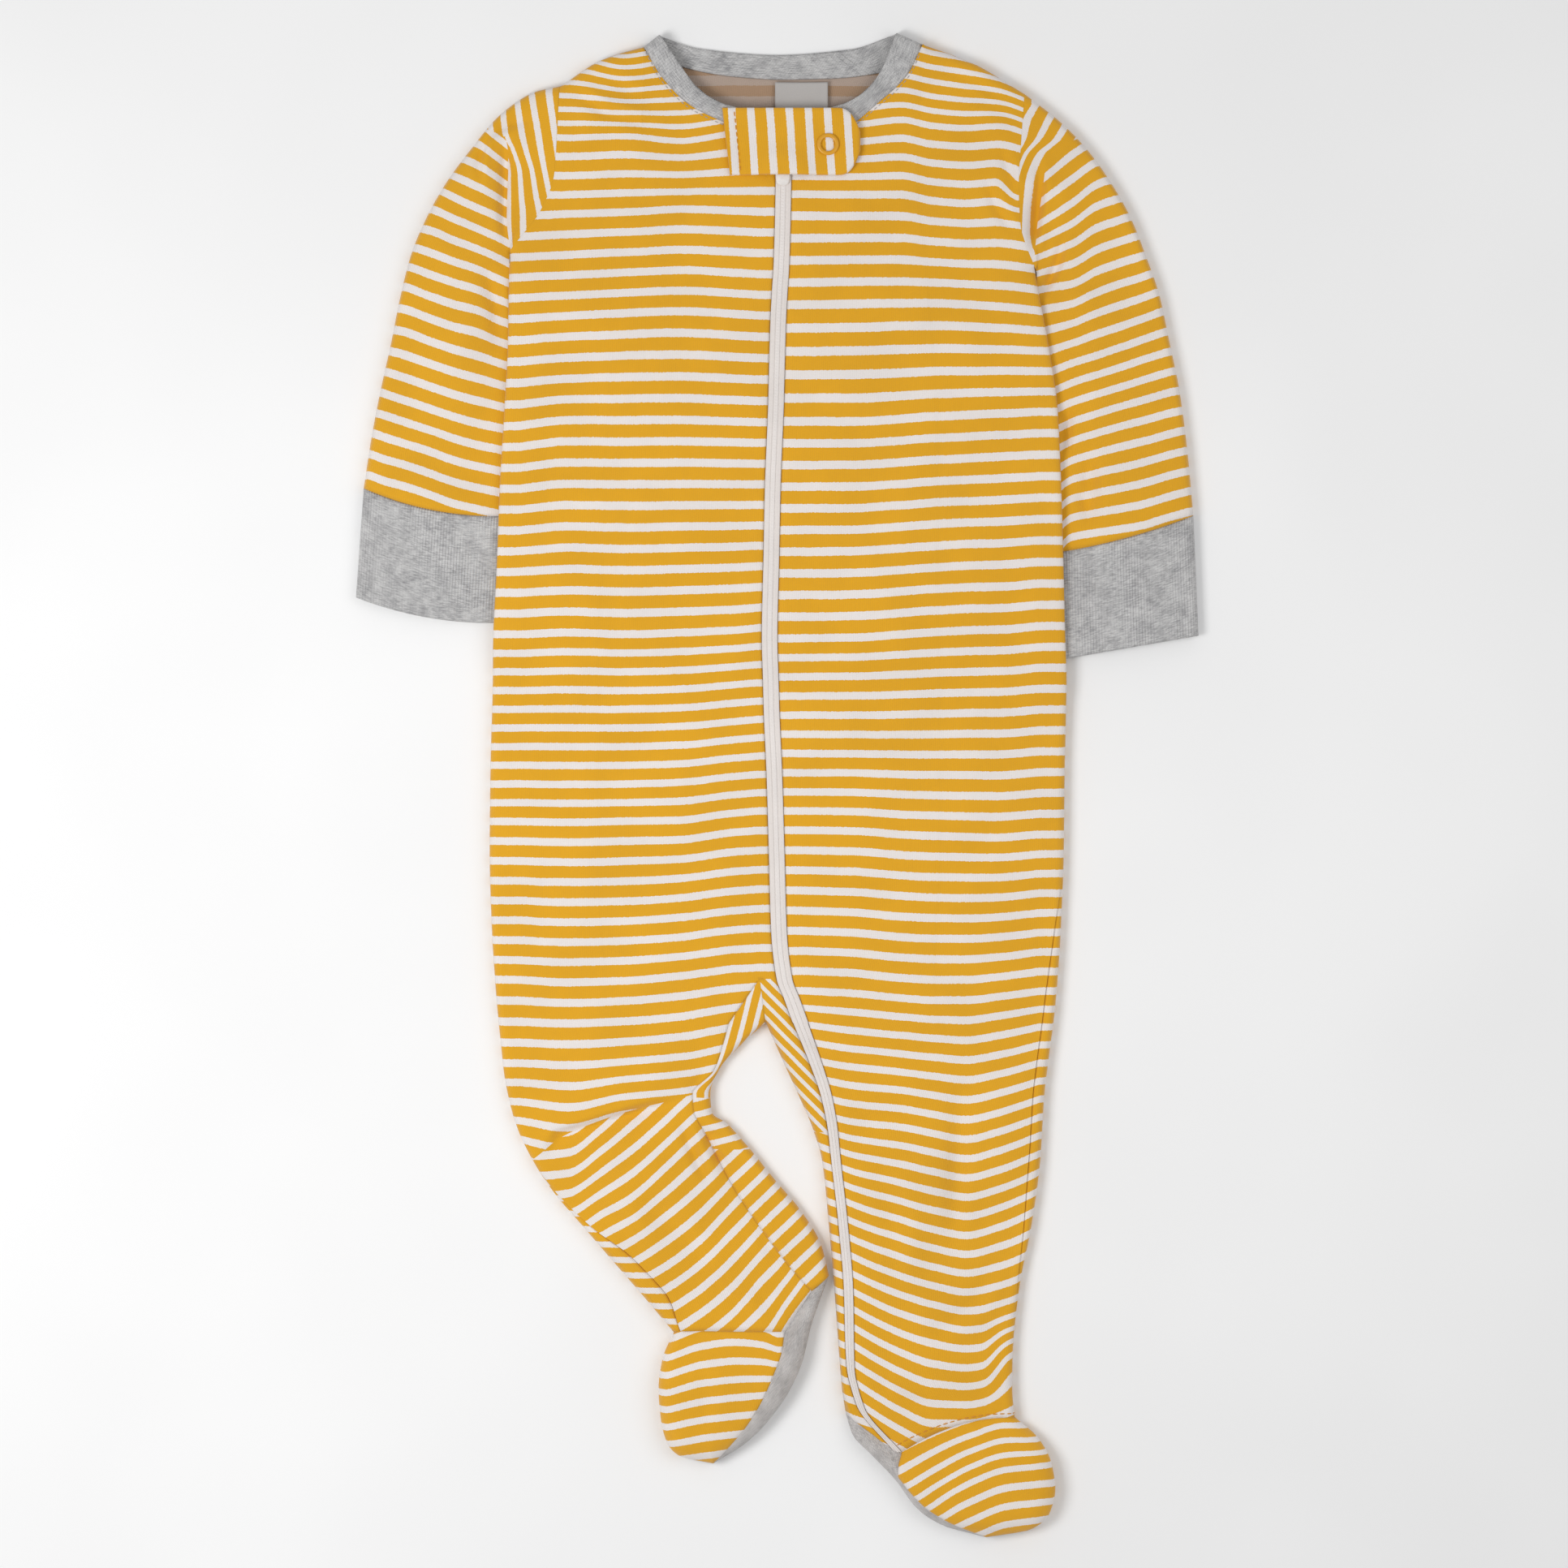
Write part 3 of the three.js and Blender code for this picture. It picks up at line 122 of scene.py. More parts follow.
TORSO = sections("leftX rightX rightY zipX sideSeam tuckLeft tuckRight", [
    [286.7, -89, 101.7, 283.7, 2.9, 0, 0, 0], [268.7, -90, 100.4, 265, 2.8, 0, 0, 0],
    [250.3, -91.3, 99.3, 246, 2.6, 0, 0, 0], [234.7, -97.3, 100, 230, 2.3, 0, 0, 0],
    [223.7, -105.7, 103.5, 218, 2, 0, 0, 0], [218, -109.7, 106, 212, 1.8, 0, 0, 0],
    [211, -109.9, 107, 205.5, 1.4, 0, 1.6, 1.8], [204, -110, 108, 199, 1.1, 0, 3.8, 4],
    [197, -110.1, 109.3, 192.5, 0.8, 0, 4.4, 4.4], [180, -110.4, 112, 177.5, 0.3, 0, 4.4, 4.4],
    [155.3, -111.7, 115.2, 155, -0.3, 0, 4.4, 4.4], [122, -113.7, 116.8, 122, -1.6, 0, 4.4, 4.4],
    [88.7, -115, 117.8, 88.7, -2.3, 0, 4.4, 4.4], [60, -116.4, 118.5, 60, -2.9, 0, 4.4, 4.4],
    [42, -116.7, 119, 42, -2.4, 0, 0.6, 4.4], [30, -117, 118.9, 30, -2.1, 0, 0, 1.5],
    [5.3, -117.7, 118.4, 5.3, -1, 0, 0, 0], [-28, -118, 118, -28, 0, 0, 0, 0],
    [-61.3, -117, 116.7, -61.3, 1, 3, 0, 0], [-80, -115.8, 115.5, -80, 3.2, 4.4, 0, 0],
    [-88, -115.2, 114.8, -88, 6.2, 4.8, 0, 0], [-98, -114.3, 113.8, -98, 9.8, 5, 0, 0],
])
SHOULDER_LEFT = curves([[-89, 286.7], [-71, 298], [-54.7, 302.9]])
SHOULDER_RIGHT = curves([[60, 303.9], [80, 296.5], [101.7, 283.7]])
NECKLINE = {
    "top": curves([[-54.7, 302.9], [-47.3, 290.3], [-35.7, 278.7], [-21.3, 271.5], [2.9, 262.7],
                   [30, 270.5], [41, 279], [54, 291.5], [60, 303.9]]),
    "bottom": curves([[-54.7, 302.9], [-39.7, 295.3], [-19, 291.3], [2.9, 289.9], [22, 290.3],
                      [42.7, 292.7], [60, 303.9]]),
}
BAND_EDGE = {
    "top": curves([[0, -48.3, 308], [0.14, -39.7, 295.3], [0.27, -32.3, 285.3], [0.38, -20.7, 278.7],
                   [0.5, 3, 274.9], [0.62, 26, 278.7], [0.73, 37.3, 285.3], [0.86, 43.3, 293.7],
                   [1, 49.3, 308.7]]),
    "bottom": curves([[0, -48.3, 308], [0.17, -32.3, 302.7], [0.5, 0, 300], [0.83, 30, 302.2],
                      [1, 49.3, 308.7]]),
}

# %% Outline of the legs, the sleeves and the feet
LEG_LEFT = sections("outX outY sideSeam seamX seamY inX inY drop loft", [
    [0, -114.3, -98, 0, -19.5, -98, -4.5, -98, 0, 7], [1, -113.3, -107.5, 0, -22, -107, -14.5, -107, 0, 7],
    [2, -112.2, -118, 0, -25.6, -117.5, -23.4, -117, 0, 7],
    [3, -109.6, -131.5, 0, -34.5, -127, -27.3, -127, 0, 7],
    [4, -106, -143, 0, -34, -134, -26.6, -135, 0, 7], [5, -99.5, -156, 0, -29.5, -143, -20.5, -139.5, 0, 7],
    [6, -91.5, -168, 1, -24.5, -153, -12.3, -148.5, 0, 7],
    [7, -79.5, -182, 3, -17.3, -166.3, -0.5, -163, 0, 7],
    [8, -67, -196.5, 8, -8.5, -179.5, 10, -175.5, 1, 7],
    [9, -55, -210.3, 9, 2.2, -194.3, 18.3, -189.5, 4, 7.2],
    [10, -42.3, -225.3, 3, 14.3, -208, 21.5, -202, 12.9, 8],
])
LEG_RIGHT = sections("inX inY zipX zipY zipHalf outX outY sideSeam bow loft", [
    [-98, -4.5, -98, 9.8, -98, 3, 113.8, -98, 5, 0, 7], [-115, 3.1, -115, 16.2, -115, 2.5, 111.5, -115, 5, 0, 7],
    [-128, 9, -128, 20.4, -128, 2.2, 110, -128, 5, 0, 7], [-141, 14.6, -141, 22.9, -141, 2, 109.2, -141, 5, 0, 7],
    [-155, 18.7, -155, 24.4, -155, 1.9, 108.3, -155, 5, 0, 7],
    [-181, 21.4, -181, 27.3, -181, 1.9, 104.8, -181, 3.5, 0, 7],
    [-208, 23.7, -208, 29.5, -209, 1.9, 99.6, -208, 1, 0, 7],
    [-235, 25.7, -235, 30, -239, 1.9, 97, -235, 0, 0.5, 7],
    [-248, 26.8, -248, 34, -256, 1.9, 96.8, -248, 0, 2, 7.4],
    [-259, 28.4, -258.7, 49.5, -274.7, 1.9, 97.7, -260, 0, 4, 8],
])
SLEEVES = {
    "left": sections("outX outY inX inY bow innerLoft", [
        [0, -89, 286.7, -109.7, 218, 0, 7], [0.08, -99, 284.6, -110, 214.2, 0, 6.2],
        [0.16, -113, 275.7, -108.6, 210, 0, 5], [0.25, -126, 260.6, -107.4, 203.5, 0, 4.1],
        [0.34, -136.5, 246.2, -106.6, 196.5, 0, 3.9], [0.43, -144.6, 231.5, -106.4, 188, 0, 3.9],
        [0.53, -150.5, 217, -105.2, 177, 0, 3.9], [0.63, -155, 199, -105.2, 163, 0, 3.9],
        [0.72, -158.6, 181, -105.6, 150, -1, 3.9], [0.82, -162.6, 163, -106, 136, -2, 3.9],
        [0.91, -166.4, 143.5, -106.6, 123, -3, 3.9], [1, -169.8, 121.5, -107.3, 110.5, -4, 3.9],
    ]),
    "right": sections("outX outY inX inY bow innerLoft", [
        [0, 101.7, 283.7, 106, 212, 0, 7], [0.08, 108, 279, 106.8, 209, 0, 6.2],
        [0.16, 117, 271.8, 106.6, 204.5, 0, 5], [0.25, 128, 260.3, 106.6, 198.5, 0, 4.1],
        [0.34, 137.5, 247, 106.8, 191.5, 0, 3.9], [0.43, 145.4, 233, 107, 183, 0, 3.9],
        [0.53, 151.8, 217, 107.4, 172, 0, 3.9], [0.63, 157.3, 201, 107.6, 160, 0, 3.9],
        [0.72, 161.4, 182, 108.2, 146, 0, 3.9], [0.82, 165.5, 162, 108.8, 130, 0, 3.9],
        [0.91, 168.6, 139, 109.6, 113, -1, 3.9], [1, 171.3, 110.3, 110.3, 94.5, -2, 3.9],
    ]),
}
CUFFS = {"left": ((-173, 76.7), (-108, 66.6), -3.6), "right": ((173.4, 61), (112.2, 50.4), 0)}
FEET = {
    "left": sections("capX capY seamX seamY soleX soleY loft roll", [
        [0, -42.3, -225.3, 2.9, -224.9, 21.5, -202, 8, 3.5], [0.2, -46.9, -236, 1.9, -233, 14.4, -222, 11, 6],
        [0.42, -48.5, -248, -1.3, -242, 10.3, -238, 13, 8], [0.64, -47.6, -260.5, -6, -252.5, 5, -249.5, 13, 8.5],
        [0.82, -45, -270.5, -12, -262.5, -3.5, -261.5, 12.5, 8.5],
        [0.93, -39.8, -276, -18, -270, -12.5, -270.5, 12, 8.5],
        [1, -26, -279, -26, -279, -26, -279, 11.5, 8.5],
    ]),
    "right": sections("capX capY seamX seamY soleX soleY loft roll", [
        [0, 97.7, -260, 50.3, -274.7, 28.4, -258.7, 8, 3.5],
        [0.2, 107.5, -268.7, 49.6, -279, 31.2, -267.2, 11, 6],
        [0.42, 112.7, -278.5, 49.7, -283.3, 39.5, -276, 13, 8],
        [0.64, 114.4, -289.5, 52.4, -287.6, 49, -286, 13, 8.5],
        [0.82, 112, -299.5, 60.2, -296, 57.8, -297.6, 12.5, 8.5],
        [0.93, 104.5, -306, 70, -302.4, 68.2, -304.4, 12, 8.5],
        [1, 86, -309.3, 86, -309.3, 86, -309.3, 11.5, 8.5],
    ]),
}
print("tables read; the neck is at Y", NECK_LEFT[1], "mm and the crotch at Y", SPLIT_ROW, "mm")

# %% [markdown]
# Laid cloth is never quite flat. It lifts in rolls, sinks in creases and rides over itself where a joint of the
# garment bends. Each crease is given as a line with a width, a ridge on its left and a trough on its
# right, so that light catches one flank and leaves the other in shade. A simulation would put them elsewhere.

# %% Creases of the upper layer
def crease(width, ridge, trough, *line):
    """Width, ridge height and trough depth in millimetres, and the points that the crease runs through."""
    return width, ridge, trough, np.array(line, float)


CREASES = [
    # broad rolls and hollows, which the solid has too
    crease(6.5, 0, 2.4, (-34, -127), (-100, -152)), crease(8, 1.6, 0, (-30, -117), (-100, -138)),
    crease(8, 1.3, 0, (-38, -142), (-88, -158)), crease(5.5, 0, 1.2, (-24, -148), (-16, -172)),
    crease(6, 0, 1.5, (-99, 273), (-119, 268)), crease(6.5, 0, 2.2, (-111, 266), (-110, 226)),
    crease(7, 1.2, 0, (-121, 262), (-120, 228)), crease(7, 1, 0, (-86, 268), (-62, 286)),
    crease(6, 0, 2.2, (109, 246), (106, 222)), crease(6, 0, 1.6, (119, 222), (109, 197)),
    crease(7, 1.2, 0, (117, 252), (116, 226)), crease(7, 1, 0, (96, 262), (78, 284)),
    crease(7, 0, 1.1, (129, 136), (130, 106)), crease(8, 0, 1.6, (78, -112), (79, -190)),
    crease(9, 1.2, 0, (60, -130), (58, -205)), crease(8, 1.3, 0, (46, -236), (92, -240)),
    crease(12, 0, 0.9, (-88, 40), (-40, 20)), crease(12, 0, 0.9, (96, -20), (50, -36)),
    # knee: the thigh rides over the calf
    crease(2.2, 1.7, 2.2, (-99, -157), (-90, -143), (-62, -134.5), (-38, -128)),
    crease(2.4, 0.8, 2.0, (-38, -137), (-33, -150), (-26, -165)),
    crease(4.5, 0.8, 0.9, (-84, -168), (-62, -178), (-50, -197)),
    crease(5, 0.9, 0.8, (-60, -158), (-40, -178), (-22, -206)),
    crease(3.2, 0.8, 0.9, (-30, -196), (-14, -212), (-6, -221)),
    crease(2.6, 0.5, 1.3, (-26, -118), (-31, -124), (-36, -128)),
    # left shoulder and sleeve head
    crease(1.8, 1.1, 1.9, (-101, 271), (-111, 269.5), (-118.5, 264.7), (-121, 257), (-120.7, 244)),
    crease(2, 0.8, 2.8, (-110.5, 268), (-110.3, 257), (-111, 233), (-109.5, 219)),
    crease(3.4, 0.9, 1.8, (-118, 216), (-113, 196), (-112, 176)),
    crease(2.4, 1.3, 1.7, (-85, 287), (-70, 277), (-48, 271)),
    crease(3, 0.5, 0.6, (-70, 292), (-58, 285), (-48, 283)),
    crease(4, 0.5, 0.5, (-144, 236), (-130, 226), (-119, 221)),
    crease(6, 0.4, 0.5, (-160, 176), (-138, 166), (-120, 163)),
    crease(5, 0.3, 0.5, (-166, 140), (-146, 138), (-124, 128)),
    # right shoulder and sleeve head
    crease(2.2, 1.3, 3.2, (109, 257), (109.8, 247), (107.8, 231), (106, 214)),
    crease(2, 1.0, 2.0, (119.5, 227), (117, 214), (108.5, 197.5)),
    crease(2.4, 0.9, 1.5, (87, 250), (92, 237), (99, 226)),
    crease(2.2, 0.7, 1.3, (93, 262), (97, 252), (99, 243)),
    crease(2.6, 0.8, 1.1, (66, 297), (84, 288), (100, 279)),
    crease(2.2, 0.4, 0.6, (72, 287), (86, 281), (99, 274)),
    crease(2.5, 1.1, 2.3, (121, 156), (120.5, 143), (120, 134)),
    crease(3.6, 1.0, 2.1, (130.5, 138), (131, 118), (130, 103)),
    crease(4, 0.4, 0.6, (148, 214), (132, 204), (118, 201)),
    crease(6, 0.4, 0.5, (166, 150), (146, 146), (126, 138)),
    # legs, hips and chest
    crease(4.5, 0.9, 1.4, (78, -122), (77, -160), (74, -196)),
    crease(5, 0.8, 0.9, (44, -150), (52, -180), (50, -210)),
    crease(4, 0.7, 0.9, (95, -190), (84, -214), (62, -232)),
    crease(2.6, 0.5, 0.8, (19, -146), (20.5, -150), (24, -154)),
    crease(3, 0.7, 1.1, (37, -238), (52, -250), (68, -256)),
    crease(7, 0.4, 0.4, (-112, 120), (-86, 112), (-60, 118)),
    crease(8, 0.4, 0.4, (108, 96), (84, 88), (50, 92)),
    crease(8, 0.4, 0.4, (-100, -20), (-72, -34), (-34, -30)),
    crease(5, 0.7, 0.9, (14, -96), (30, -108), (52, -112)),
    crease(6, 0.3, 0.4, (-20, -84), (-38, -96), (-64, -98)),
    crease(2, 0.6, 1.9, (-30, -138), (-25, -149), (-18, -160)),
    crease(1.8, 0.6, 1.2, (-28, -141), (-20, -146)),
    crease(2.4, 0.6, 0.9, (-6, -182), (-2, -190), (6, -196)),
    crease(2.2, 0.5, 0.8, (12, -102), (22, -110), (36, -112)),
    crease(2.4, 0.4, 0.7, (26, -126), (38, -134), (56, -136)),
    crease(2, 0.4, 0.8, (120, 124), (127, 119), (131, 108)),
    # toes
    crease(4, 0.4, 0.5, (-30, -233), (-26, -252), (-28, -268)),
    crease(5, 0.5, 0.5, (66, -281), (72, -292), (84, -300)),
]
# The hidden side creases in the same way, less deeply and elsewhere.
UNDER_CREASES = [
    crease(7, 0.4, 0.5, (-90, 150), (-40, 162), (10, 158)),
    crease(8, 0.5, 0.4, (84, 60), (40, 48), (-6, 56)),
    crease(5, 0.4, 0.6, (-96, -132), (-70, -142), (-40, -136)),
    crease(6, 0.4, 0.5, (90, -150), (70, -158), (44, -150)),
    crease(5, 0.3, 0.5, (-130, 230), (-122, 212), (-118, 190)),
    crease(5, 0.3, 0.5, (132, 226), (124, 208), (119, 186)),
    crease(6, 0.4, 0.4, (60, 250), (20, 240), (-24, 246)),
    crease(6, 0.4, 0.5, (-70, -60), (-30, -72), (20, -64)),
]


def crease_height(x, y, creases):
    """Sum of the creases at a place. Each one is a pair of bell curves across its line, one up on its left and
    one down on its right, and it fades over its last third at either end."""
    total = np.zeros(np.broadcast(x, y).shape)
    for width, ridge, trough, line in creases:
        best, side, along = np.full(total.shape, np.inf), np.zeros(total.shape), np.zeros(total.shape)
        step = np.hypot(*np.diff(line, axis=0).T)
        start = np.concatenate([[0], np.cumsum(step)])
        for k, (p, q) in enumerate(zip(line[:-1], line[1:])):
            way = (q - p) / step[k]
            run = np.clip((x - p[0]) * way[0] + (y - p[1]) * way[1], 0, step[k])
            dx, dy = x - p[0] - run * way[0], y - p[1] - run * way[1]
            off = np.hypot(dx, dy)
            nearer = off < best
            side = np.where(nearer, np.where(way[0] * dy - way[1] * dx > 0, 1.0, -1.0), side)
            along = np.where(nearer, (start[k] + run) / start[-1], along)
            best = np.minimum(best, off)
        across = side * best / width
        fade = smooth(1.35 - 1.25 * np.abs(2 * along - 1))
        if ridge and trough:
            shape = ridge * np.exp(-((across - 0.75) ** 2)) - trough * np.exp(-((across + 0.6) ** 2))
        else:
            shape = (ridge - trough) * np.exp(-(across ** 2))
        total += shape * fade
    return total


def slack(x, y, turn=0.0):
    """Slow unevenness of laid cloth: five long waves in different directions, 0.3 mm each at most."""
    waves = [(31, 17, 0.2), (-19, 43, 1.7), (47, -11, 3.1), (-13, -29, 4.4), (9, 71, 5.2)]
    return sum(0.3 / (1 + k * 0.35) * np.sin(x / a + y / b + c + turn)
               for k, (a, b, c) in enumerate(waves))


print("creases placed by hand:", len(CREASES), "above and", len(UNDER_CREASES), "below")

# %% [markdown]
# One formula gives both layers. Far from an edge the upper layer lies at the loft and the lower layer on the
# surface. Within a few millimetres of the folded edge both turn towards each other in a quarter round, and meet.

# %% Skin of the garment
FOLD_START = 9


def skin(x, y, layer, inset, roll, top, bottom):
    """Height at a place: the middle of the two layers, plus or minus half of their distance times the height of
    a quarter circle over its edge, and the creases where the place is far enough in."""
    rise = np.sqrt(1 - (1 - np.clip(inset / roll, 0, 1)) ** 2)
    middle, half = (top + bottom) / 2, (top - bottom) / 2
    inside = rise * smooth(inset / FOLD_START)
    if layer == "top":
        z = middle + half * rise + (crease_height(x, y, CREASES) + slack(x, y)) * inside
    else:
        dents = np.maximum(crease_height(x, y, UNDER_CREASES) + 0.5 * slack(x, y, 2.0), 0)
        z = middle - half * rise + np.minimum(dents, 0.7) * inside
    return np.stack(np.broadcast_arrays(x, y, z), axis=-1)


def nearest_edge(*edges):
    """The inset and the roll of the edge that is fewest of its own rolls away."""
    ratio = np.stack([np.broadcast_to(inset / roll, edges[0][0].shape) for inset, roll in edges])
    rolls = np.stack([np.full(edges[0][0].shape, float(roll)) for _, roll in edges])
    pick = ratio.argmin(axis=0)[None]
    roll = np.take_along_axis(rolls, pick, 0)[0]
    return np.maximum(np.take_along_axis(ratio, pick, 0)[0], 0) * roll, roll


def shoulder_line(x):
    return np.where(x <= NECK_LEFT[0] + 0.001, SHOULDER_LEFT(x)[..., 0],
                    np.where(x >= NECK_RIGHT[0] - 0.001, SHOULDER_RIGHT(x)[..., 0], np.inf))


def neckline(x, layer):
    edge = shoulder_line(x)
    return np.where(np.isfinite(edge), edge, NECKLINE[layer](x)[..., 0])


def torso_point(row, x, layer):
    """Place and height of a torso point. Rows are level at the waist and rise to the shoulders and the neck."""
    row = np.broadcast_to(row, np.broadcast(row, x).shape)
    s, top = TORSO(row), TORSO(SHOULDER_ROW)
    across = (x - s["leftX"]) / (s["rightX"] - s["leftX"])
    level = mix(row, s["rightY"], across)
    share = np.clip((row - YOKE_END) / (SHOULDER_ROW - YOKE_END), 0, 1) ** 1.2
    target = neckline(mix(top["leftX"], top["rightX"], across), layer)
    y = level + share * (target - mix(SHOULDER_ROW, SHOULDER_RIGHT_Y, across))
    in_left, in_right = x - s["leftX"], s["rightX"] - x
    far = np.where(row > UNDERARM_ROW - 0.001, 1e3, 0)
    shoulder = np.minimum(0.88 * (shoulder_line(x) - y), 1e3)
    inset, roll = nearest_edge(
        (shoulder, EDGE_ROLL), (in_left + far, EDGE_ROLL), (in_right + far, EDGE_ROLL),
        (np.hypot(x - UNDERARM_LEFT[0], y - UNDERARM_LEFT[1]), UNDERARM_ROLL),
        (np.hypot(x - UNDERARM_RIGHT[0], y - UNDERARM_RIGHT[1]), UNDERARM_ROLL),
        (np.hypot(x - CROTCH[0], y - CROTCH[1]), EDGE_ROLL))
    tuck = np.maximum(s["tuckLeft"] * (1 - smooth((in_left - TUCK_FLAT) / TUCK_FADE)),
                      s["tuckRight"] * (1 - smooth((in_right - TUCK_FLAT) / TUCK_FADE)))
    return skin(x, y, layer, inset, roll, LOFT + TUCK_RISE * tuck, tuck)


def tube_point(place, layer, start, end, loft, corner=None):
    """A point of a row that runs from one folded edge to the other, as on a leg or a sleeve."""
    x, y = place[..., 0], place[..., 1]
    edges = [(np.hypot(x - p[..., 0], y - p[..., 1]), EDGE_ROLL) for p in (start, end)]
    if corner is not None:
        edges.append((np.hypot(x - corner[0], y - corner[1]), UNDERARM_ROLL))
    inset, roll = nearest_edge(*edges)
    return skin(x, y, layer, inset, roll, loft, 0 * loft)


# %% [markdown]
# Printed stripes run along the cloth's courses, so they show how the cloth was cut, turned and folded. On each
# region a small table says where some numbered white stripes lie. Any point then has a stripe number, which is
# whole on the middle of a white stripe. The material only has to look at that number.

# %% Stripe numbers
def stripes(numbers, rows):
    """A field read by a key along the stripes and a value across them. Between two listed stripes the number
    grows evenly with the value, and past the ends it goes on at the same rate."""
    read = curves(rows)

    def number(key, value):
        places = read(key)
        result = np.zeros(np.broadcast(key, value).shape)
        for k in range(len(numbers) - 1):
            share = (value - places[..., k]) / (places[..., k + 1] - places[..., k])
            here = mix(numbers[k], numbers[k + 1], share)
            result = here if k == 0 else np.where(share >= 0, here, result)
        return result

    return number


CHEST_LEFT = stripes([-18, -14, -10, -5, 0, 10, 20, 28, 32, 35], [
    [-105.7, 288.7, 267, 233, 190.7, 146.7, 61.3, -15.3, -80.3, -114.7, -138],
    [-85.7, 288, 265.3, 234, 192, 149.3, 62, -15.7, -81.3, -115.3, -141],
    [-62.3, 284.7, 266, 234.7, 193.3, 149.3, 61.3, -15.3, -80.7, -114, -135.3],
    [-39, 286.7, 264, 236, 194, 149.3, 62, -14.7, -78.7, -112, -133],
    [-19, 288.7, 267, 235.3, 193, 148.7, 63, -12, -76, -108, -129.7],
    [-7.3, 289.3, 268.7, 234.7, 192.3, 148.3, 64, -11, -75.3, -106.3, -128],
])
CHEST_RIGHT = stripes([-18, -14, -10, -5, 0, 10, 20, 28, 35, 40, 45, 50], [
    [11, 288.7, 270.7, 242, 196.7, 148.7, 59.7, -19, -85, -133, -161.3, -196.3, -229.7],
    [31, 295.3, 270.7, 242, 197, 148.7, 60, -19.3, -86, -138.7, -172.3, -208, -244.7],
    [51, 296.7, 272.7, 242, 197.3, 149.7, 61.3, -20.7, -88, -140.7, -178.7, -217.3, -257],
    [64.3, 294, 270.3, 239.3, 197.3, 150.7, 62.3, -21.3, -88.7, -143.3, -182.7, -221.3, -262.3],
    [77.7, 292, 269.3, 238.3, 196.7, 151.3, 63, -21.7, -88.7, -146, -185.3, -224, -262.3],
    [91, 289.3, 270, 239.3, 195.7, 152, 63.3, -22, -87.3, -142.7, -182, -222, -259.7],
    [107.7, 282.7, 265.3, 237, 194, 152.7, 64.7, -20.7, -85, -136.7, -174.7, -216.3, -256.3],
])
CALF = stripes([0, 4, 8, 12, 14], [
    [-105.7, -153, -187, -221, -256, -274], [-85.7, -151.3, -184.7, -218.7, -254, -271.3],
    [-72.3, -142, -177, -211.3, -246.7, -264.7], [-59, -130, -169.3, -205.3, -242, -259.7],
    [-45.7, -118.7, -157.3, -198, -235.3, -252], [-32.3, -106.3, -144.7, -188, -228, -246.3],
    [-19, -93, -133, -174, -218.3, -236.3], [-5.7, -78, -118.7, -160, -203.3, -227.3],
    [4.3, -66.3, -107.3, -148.7, -193, -212.7],
    [14, -53, -94, -136, -180, -199.5], [24, -40, -81, -123, -167, -187],
])
SLEEVE_STRIPES = {
    "left": stripes([-14, -10, -5, 0, 4], [
        [-167.3, 292, 253.7, 208, 162.3, 126.7], [-162.3, 287.3, 251.3, 206, 160.7, 124.7],
        [-152.3, 282.7, 247, 204, 157.3, 122], [-142.3, 278.7, 245.3, 200, 154, 118.7],
        [-132.3, 275.3, 240.7, 196.7, 150.7, 115], [-122.3, 271.3, 236, 194.3, 148, 112.7],
        [-115.7, 266, 233.3, 191.3, 146.7, 111.3], [-105.7, 258.7, 228, 187.3, 144.3, 109.3],
    ]),
    "right": stripes([-15, -12, -8, -4, 0, 4], [
        [101, 250.3, 226, 201.3, 165.3, 131.3, 95.3], [111, 258.7, 231.7, 204, 168.7, 135.3, 99.3],
        [121, 268, 238, 205.3, 172.7, 140.7, 109.3], [131, 273.7, 245.7, 210.3, 175.7, 144, 111.3],
        [141, 277.7, 249.3, 214, 179, 146.7, 113], [151, 282, 252.7, 217, 182.7, 149.3, 115],
        [161, 286.7, 256.7, 221, 186, 152, 118], [172.7, 290, 260, 224.7, 189.3, 154.7, 121],
    ]),
}
# Round the sleeve heads the cloth turns, and the stripes run down beside the armhole.
HEAD_STRIPES = {
    "left": stripes([0, 1, 2, 3, 4], [
        [283.7, -119, -113, -107, -100.8, -93.5], [267, -117, -111.5, -104.6, -98, -91.2],
        [260.3, -111.8, -108.5, -103.1, -97, -90], [251.3, -110.2, -105.6, -100.3, -95.3, -89],
        [242, -110.2, -105, -98.8, -93.2, -87], [232, -110.2, -104.3, -96.8, -90, -84],
        [218.7, -109.2, -104.3, -96, -89, -82],
    ]),
    "right": stripes([0, 1, 2, 3], [
        [278.8, 106.3, 115, 123.7, 132], [271.3, 102.3, 111, 119, 127.5], [264.7, 101.2, 107.2, 115, 124],
        [258, 98.3, 101.7, 107.3, 119], [246.3, 95, 98, 102.9, 116], [225.5, 94, 97, 101.6, 115],
        [213, 96, 100, 105, 118],
    ]),
}
HEAD_LINE = {
    "left": curves([[200, -107], [217, -109], [233, -111], [257.7, -110.3], [266, -111.5], [268.7, -119],
                    [290, -127]]),
    "right": curves([[200, 104], [213, 105.5], [229.7, 107.2], [241, 108.8], [251, 110], [255, 110.3],
                     [259, 115], [263, 120], [266, 125], [290, 152]]),
}
KNEE_LINE = curves([[-104, -157], [-97.3, -152], [-90, -146], [-77.3, -140], [-62, -134.7], [-38, -128.5],
                    [-30, -126]])
